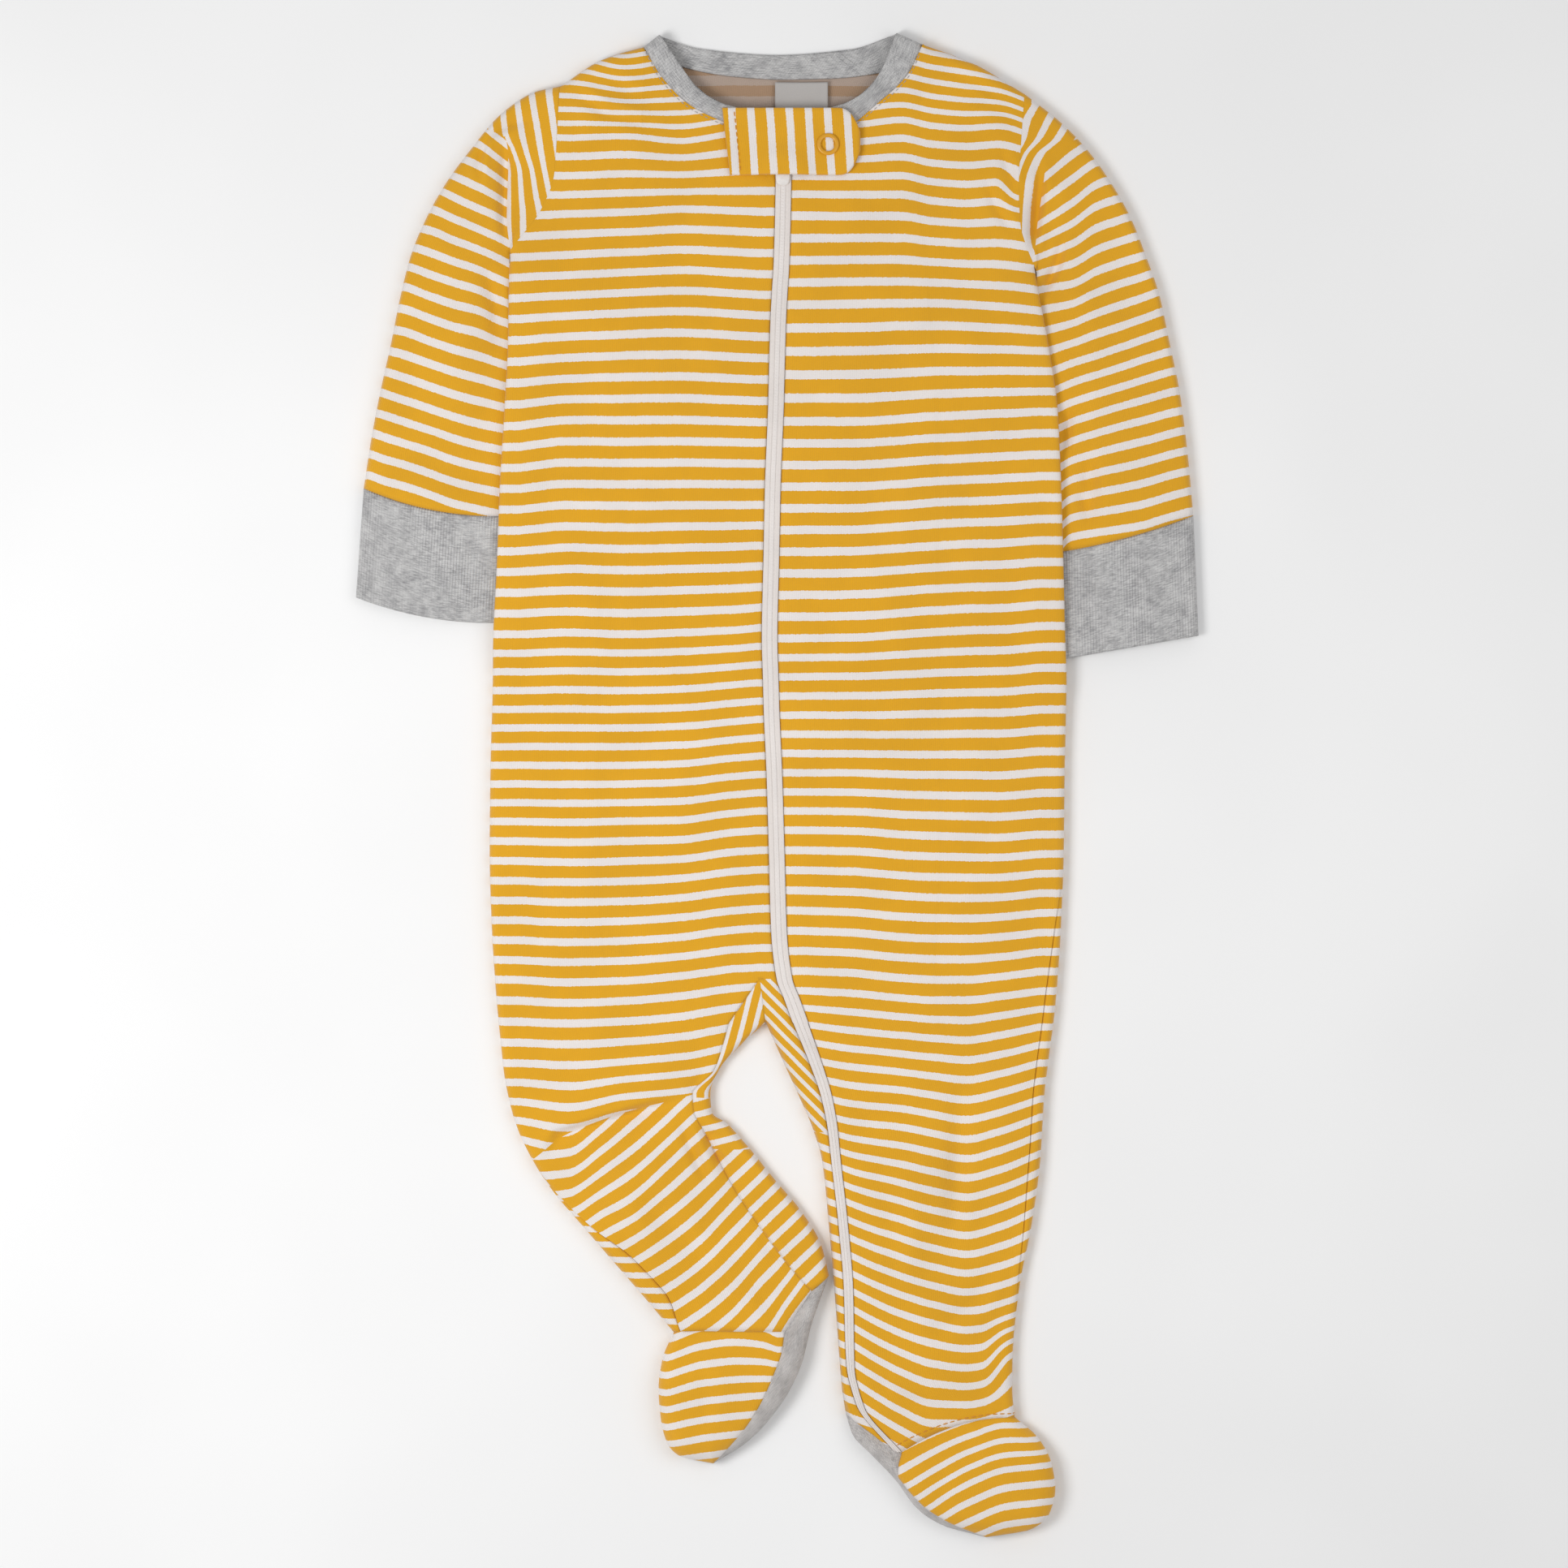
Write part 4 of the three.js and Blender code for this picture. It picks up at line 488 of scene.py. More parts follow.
TOE_STRIPES = {
    "left": stripes([0, 3, 6], [
        [-44.8, -235.2, -256.1, -278], [-30.5, -230.4, -252.7, -275.3], [-17.7, -228.8, -251, -273.9],
        [-6.2, -229.8, -250, -273], [0.2, -231.7, -249.4, -272.3],
    ]),
    "right": stripes([0, 3, 6], [
        [49.8, -281.5, -306.5, -329], [64.9, -273.2, -294.6, -318.1], [79.4, -267, -285.5, -309.8],
        [93.9, -263, -280.4, -303.3], [108.4, -263.8, -278.8, -301.5],
    ]),
}


def number(first, second=None, choice=None):
    """Two stripe numbers and a signed distance that says which holds: the second where it is above 0."""
    second = first if second is None else second
    choice = np.full(first.shape, -1.0) if choice is None else choice
    return np.stack(np.broadcast_arrays(first, second, choice), axis=-1)


def straight(x, y):
    """Level stripes at the cloth's own repeat, which meet the front's at the side seams."""
    return (149 - y + 0.8 * np.cos(x / 38)) / 8.75


print("stripe number on the chest at (0, 149):", round(float(CHEST_RIGHT(np.array(11.0), np.array(148.7))), 2))

# %% [markdown]
# Each piece of cloth is a few grids. A grid's rows follow the garment, and its columns run from one edge to the
# other. Where a side of a grid is a seam, the cloth dips into it and puckers a little, as a sewn edge does.

# %% Grids, seams and pieces
PATCHES = {}
SEAM_DEPTH, SEAM_WIDTH, PUCKER = 0.55, 1.1, 0.12
END_CLEAR, END_FADE = 2.0, 7.0


def spread(knots, step, length, fine=()):
    """Shares from 0 to 1 that hit every knot, about one step apart on a span of that length."""
    parts = [np.array(fine, float)]
    for a, b in zip(knots[:-1], knots[1:]):
        count = max(1, int(round(abs(b - a) * length / step)))
        parts.append(np.linspace(a, b, count + 1))
    return np.unique(np.round(np.concatenate(parts), 6))


def run_of(points, axis):
    """Length along a grid's rows or columns from its first side."""
    step = np.linalg.norm(np.diff(points, axis=axis), axis=-1)
    pad = [(0, 0), (0, 0)]
    pad[axis] = (1, 0)
    return np.pad(np.cumsum(step, axis=axis), pad)


def sew(points, seams, inward):
    """Press each named side of a grid into its seam: a depth times a bell curve of the distance from that side,
    with a slow ripple. Both fade towards the grid's other sides, where another piece or layer joins on. A side
    named with a plus also fades in from its start."""
    down, across = run_of(points, 0), run_of(points, 1)
    x, y = points[..., 0].copy(), points[..., 1].copy()
    wave = np.sin(x / 1.3 + y / 1.9 + 2 * np.sin(y / 11 + x / 17))
    for named in seams:
        side = named.rstrip("+")
        if side in ("first", "last"):
            off = down if side == "first" else down[-1:] - down
            ends = np.minimum(across, across[:, -1:] - across)
            beyond = down[-1:] - off
        else:
            off = across if side == "left" else across[:, -1:] - across
            ends = np.full(x.shape, END_CLEAR + END_FADE)
            beyond = across[:, -1:] - off
        fade = smooth((ends - END_CLEAR) / END_FADE) * smooth(beyond / 3)
        fade = fade * (smooth(down / 5) if named != side else 1)
        ripple = PUCKER * (1 + wave) * np.exp(-((off / 4.5) ** 2)) * smooth(off / 1.5)
        points[..., 2] += inward * fade * (SEAM_DEPTH * np.exp(-((off / SEAM_WIDTH) ** 2)) + ripple)
    return points


def lay(piece, facing, points, numbers=None, seams=(), relief=None):
    """Keep one grid of a piece, with its stripe numbers and its place along the cloth in millimetres."""
    along = np.stack([run_of(points, 1), run_of(points, 0)], axis=-1)
    if numbers is None:
        numbers = np.zeros(points.shape)
    points = sew(points.copy(), seams, -1 if facing == "up" else 1)
    if relief is not None:
        points[..., 2] += relief
    PATCHES.setdefault(piece, []).append((facing, points, numbers, along))


def quads(rows, columns):
    """Corner numbers of every cell of a grid, in order round the cell."""
    i = np.arange(rows * columns).reshape(rows, columns)
    return np.stack([i[:-1, :-1], i[1:, :-1], i[1:, 1:], i[:-1, 1:]], axis=-1).reshape(-1, 4)


def shell(piece):
    """Join the grids of a piece: corners at the same place become one vertex, cells that shrank to a line go,
    and each grid is turned to face the way it says."""
    places, cells, numbers, along, count = [], [], [], [], 0
    for facing, points, stripe, run in PATCHES[piece]:
        q = quads(*points.shape[:2])
        flat = points.reshape(-1, 3)
        a, b, c = flat[q[:, 0]], flat[q[:, 1]], flat[q[:, 2]]
        tilt = np.cross(b - a, c - a)[:, 2].sum()
        if (tilt > 0) != (facing == "up"):
            q = q[:, ::-1]
        numbers.append(stripe.reshape(-1, 3)[q])
        along.append(run.reshape(-1, 2)[q])
        cells.append(q + count)
        places.append(flat)
        count += len(flat)
    places, cells = np.concatenate(places), np.concatenate(cells)
    numbers, along = np.concatenate(numbers), np.concatenate(along)
    _, first, merged = np.unique(np.round(places / 0.02).astype(int), axis=0, return_index=True,
                                 return_inverse=True)
    cells = merged.reshape(-1)[cells]
    return places[first], cells, numbers, along


def tidy_cells(cells):
    """Faces without repeated corners, as flat lists of corners and sizes, and the kept corners' numbers."""
    repeat = cells == np.roll(cells, 1, axis=1)
    keep = ~repeat
    enough = keep.sum(axis=1) >= 3
    crossed = (cells[:, 0] == cells[:, 2]) | (cells[:, 1] == cells[:, 3])
    keep &= (enough & ~crossed)[:, None]
    sizes = keep.sum(axis=1)
    return cells[keep], sizes[sizes > 0], keep


def mesh_from(name, places, corners, sizes, numbers=None, along=None):
    """A mesh of faces of 3 or 4 corners, from arrays, with its stripe numbers and its map on the corners."""
    mesh = bpy.data.meshes.new(name)
    mesh.vertices.add(len(places))
    mesh.vertices.foreach_set("co", (places * MM).astype(np.float32).ravel())
    mesh.loops.add(len(corners))
    mesh.loops.foreach_set("vertex_index", corners.astype(np.int32))
    starts = np.concatenate([[0], np.cumsum(sizes)[:-1]])
    mesh.polygons.add(len(sizes))
    mesh.polygons.foreach_set("loop_start", starts.astype(np.int32))
    if numbers is not None:
        stripe = mesh.attributes.new("stripe", "FLOAT_VECTOR", "CORNER")
        stripe.data.foreach_set("vector", numbers.astype(np.float32).ravel())
    if along is not None:
        layer = mesh.uv_layers.new(name="cloth")
        layer.data.foreach_set("uv", (along * MM).astype(np.float32).ravel())
    mesh.update(calc_edges=True)
    mesh.validate()
    mesh.shade_smooth()
    return mesh


def add(name, mesh):
    thing = bpy.data.objects.new(name, mesh)
    bpy.context.scene.collection.objects.link(thing)
    return thing


THIN_STEP, THIN_WEIGHTS = 2, (0.05, 0.15, 0.35, 0.6, 0.8, 1.0)


def thin_at_underarms(thing, places):
    """A weight for the wall in six steps: 0.05 at an underarm, where both layers are pinched together, and 1
    from 10 mm off."""
    corners = (UNDERARM_LEFT, UNDERARM_RIGHT)
    off = np.min([np.hypot(places[:, 0] - x, places[:, 1] - y) for x, y in corners], axis=0)
    step = np.clip(off / THIN_STEP, 0, len(THIN_WEIGHTS) - 1).astype(int)
    group = thing.vertex_groups.new(name="wall")
    for k, weight in enumerate(THIN_WEIGHTS):
        group.add(np.flatnonzero(step == k).tolist(), weight, "REPLACE")


def sew_piece(name, node, wall):
    """The finished object of a cloth piece: its shell, given a wall on the inside."""
    places, cells, numbers, along = shell(node)
    corners, sizes, keep = tidy_cells(cells)
    thing = add(name, mesh_from(name, places, corners, sizes, numbers[keep], along[keep]))
    wall_of = thing.modifiers.new("wall", "SOLIDIFY")
    wall_of.thickness, wall_of.offset = wall * MM, -1
    wall_of.use_rim, wall_of.use_even_offset = True, False
    thin_at_underarms(thing, places)
    wall_of.vertex_group = "wall"
    wall_of.material_offset = 1
    wall_of.material_offset_rim = 0
    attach(thing, "root")
    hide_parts(node)
    print(f"{name}: {len(places)} points, {len(sizes)} faces")
    return thing


# %% [markdown]
# The torso comes first. Its upper layer is the two fronts with the zip between them, and its lower layer is the
# back. Below the hips the back comes round onto the top along the right side seam.

# %% Torso grids
STEP = 1.5
NECK_SHARE = {
    "left": (NECK_LEFT[0] - SHOULDER_LEFT_X) / (ZIP_TOP_X - ZIP_HALF - SHOULDER_LEFT_X),
    "right": (SHOULDER_RIGHT_X - NECK_RIGHT[0]) / (SHOULDER_RIGHT_X - ZIP_TOP_X - ZIP_HALF),
}
FINE = [0.002, 0.005, 0.01, 0.017, 0.025]
APEX, CORNER_F = 0.94, 0.68
LEFT_F = spread([0, NECK_SHARE["left"], CORNER_F, APEX, 1], STEP, 115, FINE)
RIGHT_F = spread([0, NECK_SHARE["right"], 1], STEP, 115, FINE)
ARM_ROWS = mix(SHOULDER_ROW, UNDERARM_ROW, spread([0, 1], STEP, 69, [0.004, 0.012, 0.98, 0.99]))
BODY_ROWS = mix(UNDERARM_ROW, CROTCH_ROW, spread([0, 1], STEP, 298, [0.0015]))[1:]
SPLIT_ROWS = mix(CROTCH_ROW, SPLIT_ROW, spread([0, 1], STEP, 18))
UPPER = np.concatenate([ARM_ROWS, BODY_ROWS])[:, None]
ALL = np.concatenate([ARM_ROWS, BODY_ROWS, SPLIT_ROWS[1:]])[:, None]


def torso_x(rows):
    """X of the zip's sides and of the seams on each row."""
    s = TORSO(rows)
    return s["leftX"], s["zipX"] - ZIP_HALF, s["zipX"] + ZIP_HALF, s["rightX"] - s["sideSeam"], s["rightX"]


def front_left_number(points):
    return number(CHEST_LEFT(points[..., 0], points[..., 1]))


def front_right_number(points):
    """The chest's stripes. A fold beside the armhole pulls them down by up to 6 mm, and the bend of the ankle
    lifts them by up to 9 mm at its outer edge."""
    x, y = points[..., 0], points[..., 1]
    pulled = 6 * np.exp(-(((y - 243) / 9) ** 2)) * smooth((x - 89) / 10)
    lifted = 9 * np.exp(-(((y + 236) / 15) ** 2)) * smooth((x - 84) / 13)
    return number(CHEST_RIGHT(x, y + pulled - lifted))


left, zip_left, *_ = torso_x(UPPER)
grid = torso_point(UPPER, mix(left, zip_left, LEFT_F[None]), "top")
front_left_arm, front_left_top = grid[:len(ARM_ROWS), 0], grid[0]
lay("front_left", "up", grid, front_left_number(grid), ["first", "right"])

left, zip_left, zip_right, seam, right = torso_x(ALL)
front_right = torso_point(ALL, mix(zip_right, seam, 1 - RIGHT_F[None, ::-1]), "top")
front_right_arm, front_right_top = front_right[:len(ARM_ROWS), -1], front_right[0]
centre = mix(CROTCH[0], ZIP_TOP_X, smooth((ALL - SPLIT_ROW) / (SHOULDER_ROW - SPLIT_ROW)))
CAP_SHARE = {"left": 0.11, "right": 0.0852}
UNDER_F = {side: spread([0, CAP_SHARE[side], 1], 2.2, 115, FINE) for side in ("left", "right")}
back_left = torso_point(ALL, mix(left, centre, UNDER_F["left"][None]), "bottom")
back_right = torso_point(ALL, mix(right, centre, UNDER_F["right"][None]), "bottom")
WRAP_F = spread([0, 1], 1.2, 6)
wrap = torso_point(ALL, mix(seam, right, WRAP_F[None]), "top")
print("torso grids:", grid.shape[:2], front_right.shape[:2], back_left.shape[:2])


# %% [markdown]
# Below the crotch the front divides. Its left part goes down the bent leg, and a strip stays inside the zip on
# the straight leg. Between them the seat of the back shows, because the cloth of the back is fuller there.

# %% Crotch grids
THIGH_F = LEFT_F[LEFT_F <= APEX + 1e-6] / APEX
STRIP_F = (LEFT_F[LEFT_F >= APEX - 1e-6] - APEX) / (1 - APEX)
SEAT_F = spread([0, 1], 1.3, 15)
WEDGE_SLOPE, WEDGE_REPEAT = (0.97, -0.24), 5.1
rows = SPLIT_ROWS[:, None]
s = TORSO(rows)
apex = mix(TORSO(CROTCH_ROW)["leftX"], TORSO(CROTCH_ROW)["zipX"] - ZIP_HALF, APEX)
down = (CROTCH_ROW - rows) / (CROTCH_ROW - SPLIT_ROW)
inseam, inner = mix(apex, LEG_LEFT(0)["seamX"], down), mix(apex, CROTCH[0], down)
thigh = torso_point(rows, mix(s["leftX"], inseam, THIGH_F[None]), "top")
strip = torso_point(rows, mix(inner, s["zipX"] - ZIP_HALF, STRIP_F[None]), "top")
seat = torso_point(rows, mix(inseam, inner, SEAT_F[None]), "top")
STRIP_REPEAT, ANKLE_REPEAT, NOTCH_Y = 3.9, 7.1, -143


def strip_number(points):
    """Slanting stripes above the notch in the strip, and nearly level ones below it."""
    x, y = points[..., 0], points[..., 1]
    return number(-0.7 * (x + y) / STRIP_REPEAT, -(y + 0.35 * (x - 22) + 214.2) / ANKLE_REPEAT, NOTCH_Y - y)


def wedge_number(points):
    x, y = points[..., 0], points[..., 1]
    return number((WEDGE_SLOPE[0] * x + WEDGE_SLOPE[1] * y) / WEDGE_REPEAT)


lay("front_left", "up", thigh, front_left_number(thigh), ["right+"])
lay("front_left", "up", strip, strip_number(strip), ["right"])
lay("back", "up", seat, wedge_number(seat), ["left+"])
print("crotch apex at X", round(float(apex), 1), "mm")

# %% [markdown]
# The legs go on from the last row of the torso. A row of a leg is a straight line from its outer folded edge to
# its inner one, cut into pieces where the seams lie. The left leg bends at the knee, so its rows fan out.

# %% Left leg
LEG_ROWS = spread([0, 1], 1.6, 135) * 10
s = columns(LEG_LEFT, LEG_ROWS)
outer, inseam, inner = pair(s, "out"), pair(s, "seam"), pair(s, "in")
way = (inseam - outer) / np.linalg.norm(inseam - outer, axis=-1, keepdims=True)
side = outer + way * s["sideSeam"]


def shares(f):
    return np.asarray(f)[None, :, None]


def leg_point(place, layer, loft=s["loft"][..., 0]):
    return tube_point(place, layer, outer, inner, loft)


CORNER = CORNER_F / APEX
sag = s["drop"] * np.minimum(shares(THIGH_F) / CORNER, (1 - shares(THIGH_F)) / (1 - CORNER))
across = np.concatenate([way[..., 1:], -way[..., :1]], axis=-1)
leg_front = leg_point(mix(side, inseam, shares(THIGH_F)) + across * sag, "top")
leg_seat = leg_point(mix(inseam, inner, shares(SEAT_F)), "top")
leg_side = leg_point(mix(outer, side, shares(WRAP_F)), "top")
leg_under = leg_point(mix(outer, inner, shares(UNDER_F["left"])), "bottom")
leg_front[0], leg_seat[0], leg_under[0], leg_side[0] = thigh[-1], seat[-1], back_left[-1], thigh[-1, 0]
SEAT_REPEAT, STRIP_Y, TURN_ROW = 7.2, -150, int(np.argmin(np.abs(LEG_ROWS - 3.2)))


def leg_front_number(points):
    x, y = points[..., 0], points[..., 1]
    return number(CHEST_LEFT(x, y), CALF(x, y), KNEE_LINE(x)[..., 0] - y)


def leg_seat_number(points):
    """Behind the knee the stripes are nearly level, and below it they rise to the right."""
    x, y = points[..., 0], points[..., 1]
    return number((0.97 * y - 0.25 * x) / 6.5, (0.686 * x - 0.727 * y - 4.85) / SEAT_REPEAT, STRIP_Y - y)


lay("front_left", "up", leg_front, leg_front_number(leg_front), ["right", "last"])
beside_seam = number((WEDGE_SLOPE[0] * run_of(leg_seat, 1) + 4.6) / WEDGE_REPEAT)
lay("back", "up", leg_seat[:TURN_ROW + 1], beside_seam[:TURN_ROW + 1], ["left"])
lay("back", "up", leg_seat[TURN_ROW:], leg_seat_number(leg_seat)[TURN_ROW:], ["left"])
lay("back", "up", leg_side, number(-leg_side[..., 1] / 6.3), ["right"])
lay("back", "down", leg_under, number(straight(leg_under[..., 0], leg_under[..., 1]),
                                      CALF(leg_under[..., 0], leg_under[..., 1]),
                                      KNEE_LINE(leg_under[..., 0])[..., 0] - leg_under[..., 1]))
print("left leg grids:", leg_front.shape[:2], leg_seat.shape[:2], leg_under.shape[:2])

# %% Right leg
RIGHT_ROWS = mix(SPLIT_ROW, ANKLE_ROW, spread([0, 1], 1.6, 161))
ANKLE_BEND = -240
s = columns(LEG_RIGHT, RIGHT_ROWS)
inner, outer, zip_middle = pair(s, "in"), pair(s, "out"), pair(s, "zip")


def unit(v):
    return v / np.linalg.norm(v, axis=-1, keepdims=True)


slope = np.where(RIGHT_ROWS[:, None, None] < ANKLE_BEND, unit(outer - zip_middle), np.array([1.0, 0.0]))
zip_left = zip_middle - s["zipHalf"] * unit(zip_middle - inner)
zip_right = zip_middle + s["zipHalf"] * slope
seam = outer + unit(zip_right - outer) * s["sideSeam"]


def right_point(place, layer):
    return tube_point(place, layer, inner, outer, s["loft"][..., 0])


f = shares(RIGHT_F)
bowed = mix(seam, zip_right, f) + np.array([0.0, 1.0]) * s["bow"] * 4 * f * (1 - f)
right_front = right_point(bowed, "top")[:, ::-1]
right_strip = right_point(mix(inner, zip_left, shares(STRIP_F)), "top")
right_wrap = right_point(mix(seam, outer, shares(WRAP_F)), "top")
right_under = right_point(mix(outer, inner, shares(UNDER_F["right"])), "bottom")
right_front[0], right_strip[0] = front_right[-1], strip[-1]
right_wrap[0], right_under[0] = wrap[-1], back_right[-1]
lay("front_right", "up", front_right, front_right_number(front_right), ["first", "left"])
lay("front_right", "up", right_front, front_right_number(right_front), ["left", "last"])
lay("front_left", "up", right_strip, strip_number(right_strip), ["right", "last"])
for piece in (wrap, right_wrap):
    lay("back", "up", piece, front_right_number(piece), ["left"])
for piece in (back_left, back_right, right_under):
    lay("back", "down", piece, number(straight(piece[..., 0], piece[..., 1])))
print("right leg grids:", right_front.shape[:2], right_strip.shape[:2])

# %% [markdown]
# A foot starts at the ankle's last row and closes at the tip of the toes. It is stuffed out a little by its own
# seams, so its edge is rounder than the legs' and its height comes from the distance to its whole outline.

# %% Feet
FOOT_ROWS = np.unique(np.concatenate([spread([0, 1], 1.2, 60)[1:], [0.985, 0.995]]))
BEND_FADE, CROWN_DROP, HEART = 0.35, 0.08, 0.45


def outline_of(table):
    g = np.linspace(0, 1, 49)
    t = table(g)
    cap, sole = np.stack([t["capX"], t["capY"]], -1), np.stack([t["soleX"], t["soleY"]], -1)
    return np.concatenate([cap, sole[::-1][1:]])


def inset_from(outline, place):
    """The shortest distance from each place to the outline's segments."""
    best = np.full(place.shape[:-1], np.inf)
    for p, q in zip(outline[:-1], outline[1:]):
        way = q - p
        run = np.clip(((place - p) @ way) / max(way @ way, 1e-9), 0, 1)
        best = np.minimum(best, np.linalg.norm(place - p - run[..., None] * way, axis=-1))
    return best


def foot(table, first, start, end, layer):
    """Rows from the ankle's row to the toes: straight spans between two of the foot's lines, plus what the
    ankle's row leaves them by, which fades out over the first third."""
    t = {key: value[:, None] for key, value in table(FOOT_ROWS).items()}
    base = {key: float(value) for key, value in table(0.0).items()}
    p0, q0 = (np.array([base[side + "X"], base[side + "Y"]]) for side in (start, end))
    reach = np.linalg.norm(first[:, :2] - first[0, :2], axis=1)
    share = np.clip(reach / reach[-1], 0, 1)[None, :, None]
    rest = first[None, :, :2] - mix(p0, q0, share)
    p, q = (np.stack([t[side + "X"], t[side + "Y"]], -1) for side in (start, end))
    keep = (1 - smooth(FOOT_ROWS / BEND_FADE))[:, None, None]
    place = mix(p, q, share) + rest * keep
    inset = inset_from(outline_of(table), place)
    if start == "cap":
        inset[:, 0] = 0
    if end == "sole":
        inset[:, -1] = 0
    inset[-1] = 0
    middle = table(HEART)
    heart = np.array([(middle["capX"] + middle["soleX"]) / 2, (middle["capY"] + middle["soleY"]) / 2])
    reach = np.linalg.norm(heart - outline_of(table)[48])
    deep = np.minimum(1, np.linalg.norm(place - heart, axis=-1) / reach)
    loft = t["loft"] * (1 - CROWN_DROP * deep)
    points = skin(place[..., 0], place[..., 1], layer, inset, t["roll"], loft, 0 * loft)
    return np.concatenate([first[None], points])


corner = int(np.argmin(np.abs(THIGH_F - CORNER)))
cap_columns = {side: int(np.argmin(np.abs(UNDER_F[side] - CAP_SHARE[side]))) for side in UNDER_F}
ZIP_F = np.array([0, 0.34, 0.5, 0.66, 1])
ankle_zip = right_point(mix(zip_left, zip_right, shares(ZIP_F)), "top")[-1]
RINGS = {
    "left": (np.concatenate([leg_side[-1], leg_front[-1][1:corner + 1]]),
             np.concatenate([leg_front[-1][corner:], leg_seat[-1][1:]]), leg_under[-1]),
    "right": (right_front[-1][::-1], np.concatenate([ankle_zip[::-1], right_strip[-1][::-1][1:]]),
              right_under[-1]),
}
for side, (cap, sole, under) in RINGS.items():
    table, cut = FEET[side], cap_columns[side]
    top = foot(table, cap, "cap", "seam", "top")
    below = foot(table, under, "cap", "sole", "bottom")
    field = TOE_STRIPES[side]
    lay(f"toe_cap_{side}", "up", top, number(field(top[..., 0], top[..., 1])), ["first", "right"])
    lay(f"toe_cap_{side}", "down", below[:, :cut + 1],
        number(field(below[:, :cut + 1, 0], below[:, :cut + 1, 1])))
    lay(f"sole_{side}", "up", foot(table, sole, "seam", "sole", "top"), None, ["first", "left"])
    lay(f"sole_{side}", "down", below[:, cut:])
print("feet: rows", len(FOOT_ROWS), "loft at the toes", float(FEET["left"](0.5)["loft"]), "mm")

# %% [markdown]
# A sleeve grows out of the armhole. Its first row is the armhole itself, and the bulge of that row fades along
# the sleeve head. Its inner edge lies low, because there it is tucked under the edge of the torso.

# %% Sleeves and cuffs
SLEEVE_LOFT, SLEEVE_HEAD, TUCK_START, TUCK_SPAN, CUFF_LOFT = 6.4, 0.16, 0.5, 0.33, 6
UNDERARM_HEAD, UNDERARM_START, UNDERARM_SPAN = 0.045, 0.55, 0.4
HEAD_END_Y = 214
SLEEVE_T = np.unique(np.concatenate([spread([0, 1], 1.5, 165), [0.004]]))
RIB_PITCH, RIB_DEPTH, RIB_MIDDLE = 1.15, 0.28, 0.6


def sleeve(side, arm, layer):
    """Rows from the armhole to the wrist: straight spans from the outer edge to the inner one, bowed by a
    parabola, plus what the armhole bulges from its chord. That fades with a smooth step along the sleeve head,
    and near the underarm with a square over a few millimetres, so that the cloth leaves the armhole outwards."""
    table, corner = SLEEVES[side], UNDERARM_LEFT if side == "left" else UNDERARM_RIGHT
    share = run_of(arm[:, None], 0)[:, 0]
    share = (share / share[-1])[None, :, None]
    t = columns(table, SLEEVE_T)
    outer, inner = pair(t, "out"), pair(t, "in")
    way = unit(inner - outer)
    turn = 1 if side == "left" else -1
    normal = turn * np.stack([-way[..., 1], way[..., 0]], -1)
    head = (1 - smooth(SLEEVE_T / SLEEVE_HEAD))[:, None, None]
    low = smooth((share - UNDERARM_START) / UNDERARM_SPAN)
    left_over = (1 - np.clip(SLEEVE_T[:, None, None] / mix(SLEEVE_HEAD, UNDERARM_HEAD, low), 0, 1)) ** 2
    bulge = arm[None, :, :2] - mix(arm[:1, :2], arm[-1:, :2], share)
    place = mix(outer, inner, share) + normal * t["bow"] * 4 * share * (1 - share)
    place = place + bulge * mix(head, left_over, low)
    loft = mix(mix(SLEEVE_LOFT, LOFT, head[..., 0]), t["innerLoft"][..., 0],
               smooth((share[..., 0] - TUCK_START) / TUCK_SPAN))
    points = tube_point(place, layer, outer, inner, loft, corner)
    points[0] = arm
    return points


def sleeve_number(side, points):
    x, y = points[..., 0], points[..., 1]
    line = HEAD_LINE[side](y)[..., 0]
    off = x - line if side == "left" else line - x
    return number(SLEEVE_STRIPES[side](x, y), HEAD_STRIPES[side](y, x), np.where(y > HEAD_END_Y, off, -1.0))


def cuff(side, layer):
    """A band of ribs that run along the arm: |sin| across it, deeper in the furrows than on the ribs."""
    table, (outer_end, inner_end, bow_end) = SLEEVES[side](1.0), CUFFS[side]
    t, v = np.linspace(0, 1, 34)[:, None, None], spread([0, 1], 0.29, 64, [0.004, 0.01, 0.99, 0.996])
    outer = mix(np.array([table["outX"], table["outY"]]), np.array(outer_end), t)
    inner = mix(np.array([table["inX"], table["inY"]]), np.array(inner_end), t)
    way = unit(inner - outer)
    turn = 1 if side == "left" else -1
    normal = turn * np.stack([-way[..., 1], way[..., 0]], -1)
    share = v[None, :, None]
    place = mix(outer, inner, share) + normal * mix(table["bow"], bow_end, t) * 4 * share * (1 - share)
    loft = mix(CUFF_LOFT, TUCKED_LOFT, smooth((share[..., 0] - TUCK_START) / TUCK_SPAN)) + 0 * t[..., 0]
    points = tube_point(place, layer, outer, inner, loft)
    points[0, :, 2] = mix(points[0, :, 2], points[1, :, 2], 0.5)
    across = run_of(points[:1], 1)
    ribs = RIB_DEPTH * (np.abs(np.sin(np.pi * across / RIB_PITCH)) - RIB_MIDDLE)
    return points, (ribs if layer == "top" else -0.5 * ribs)


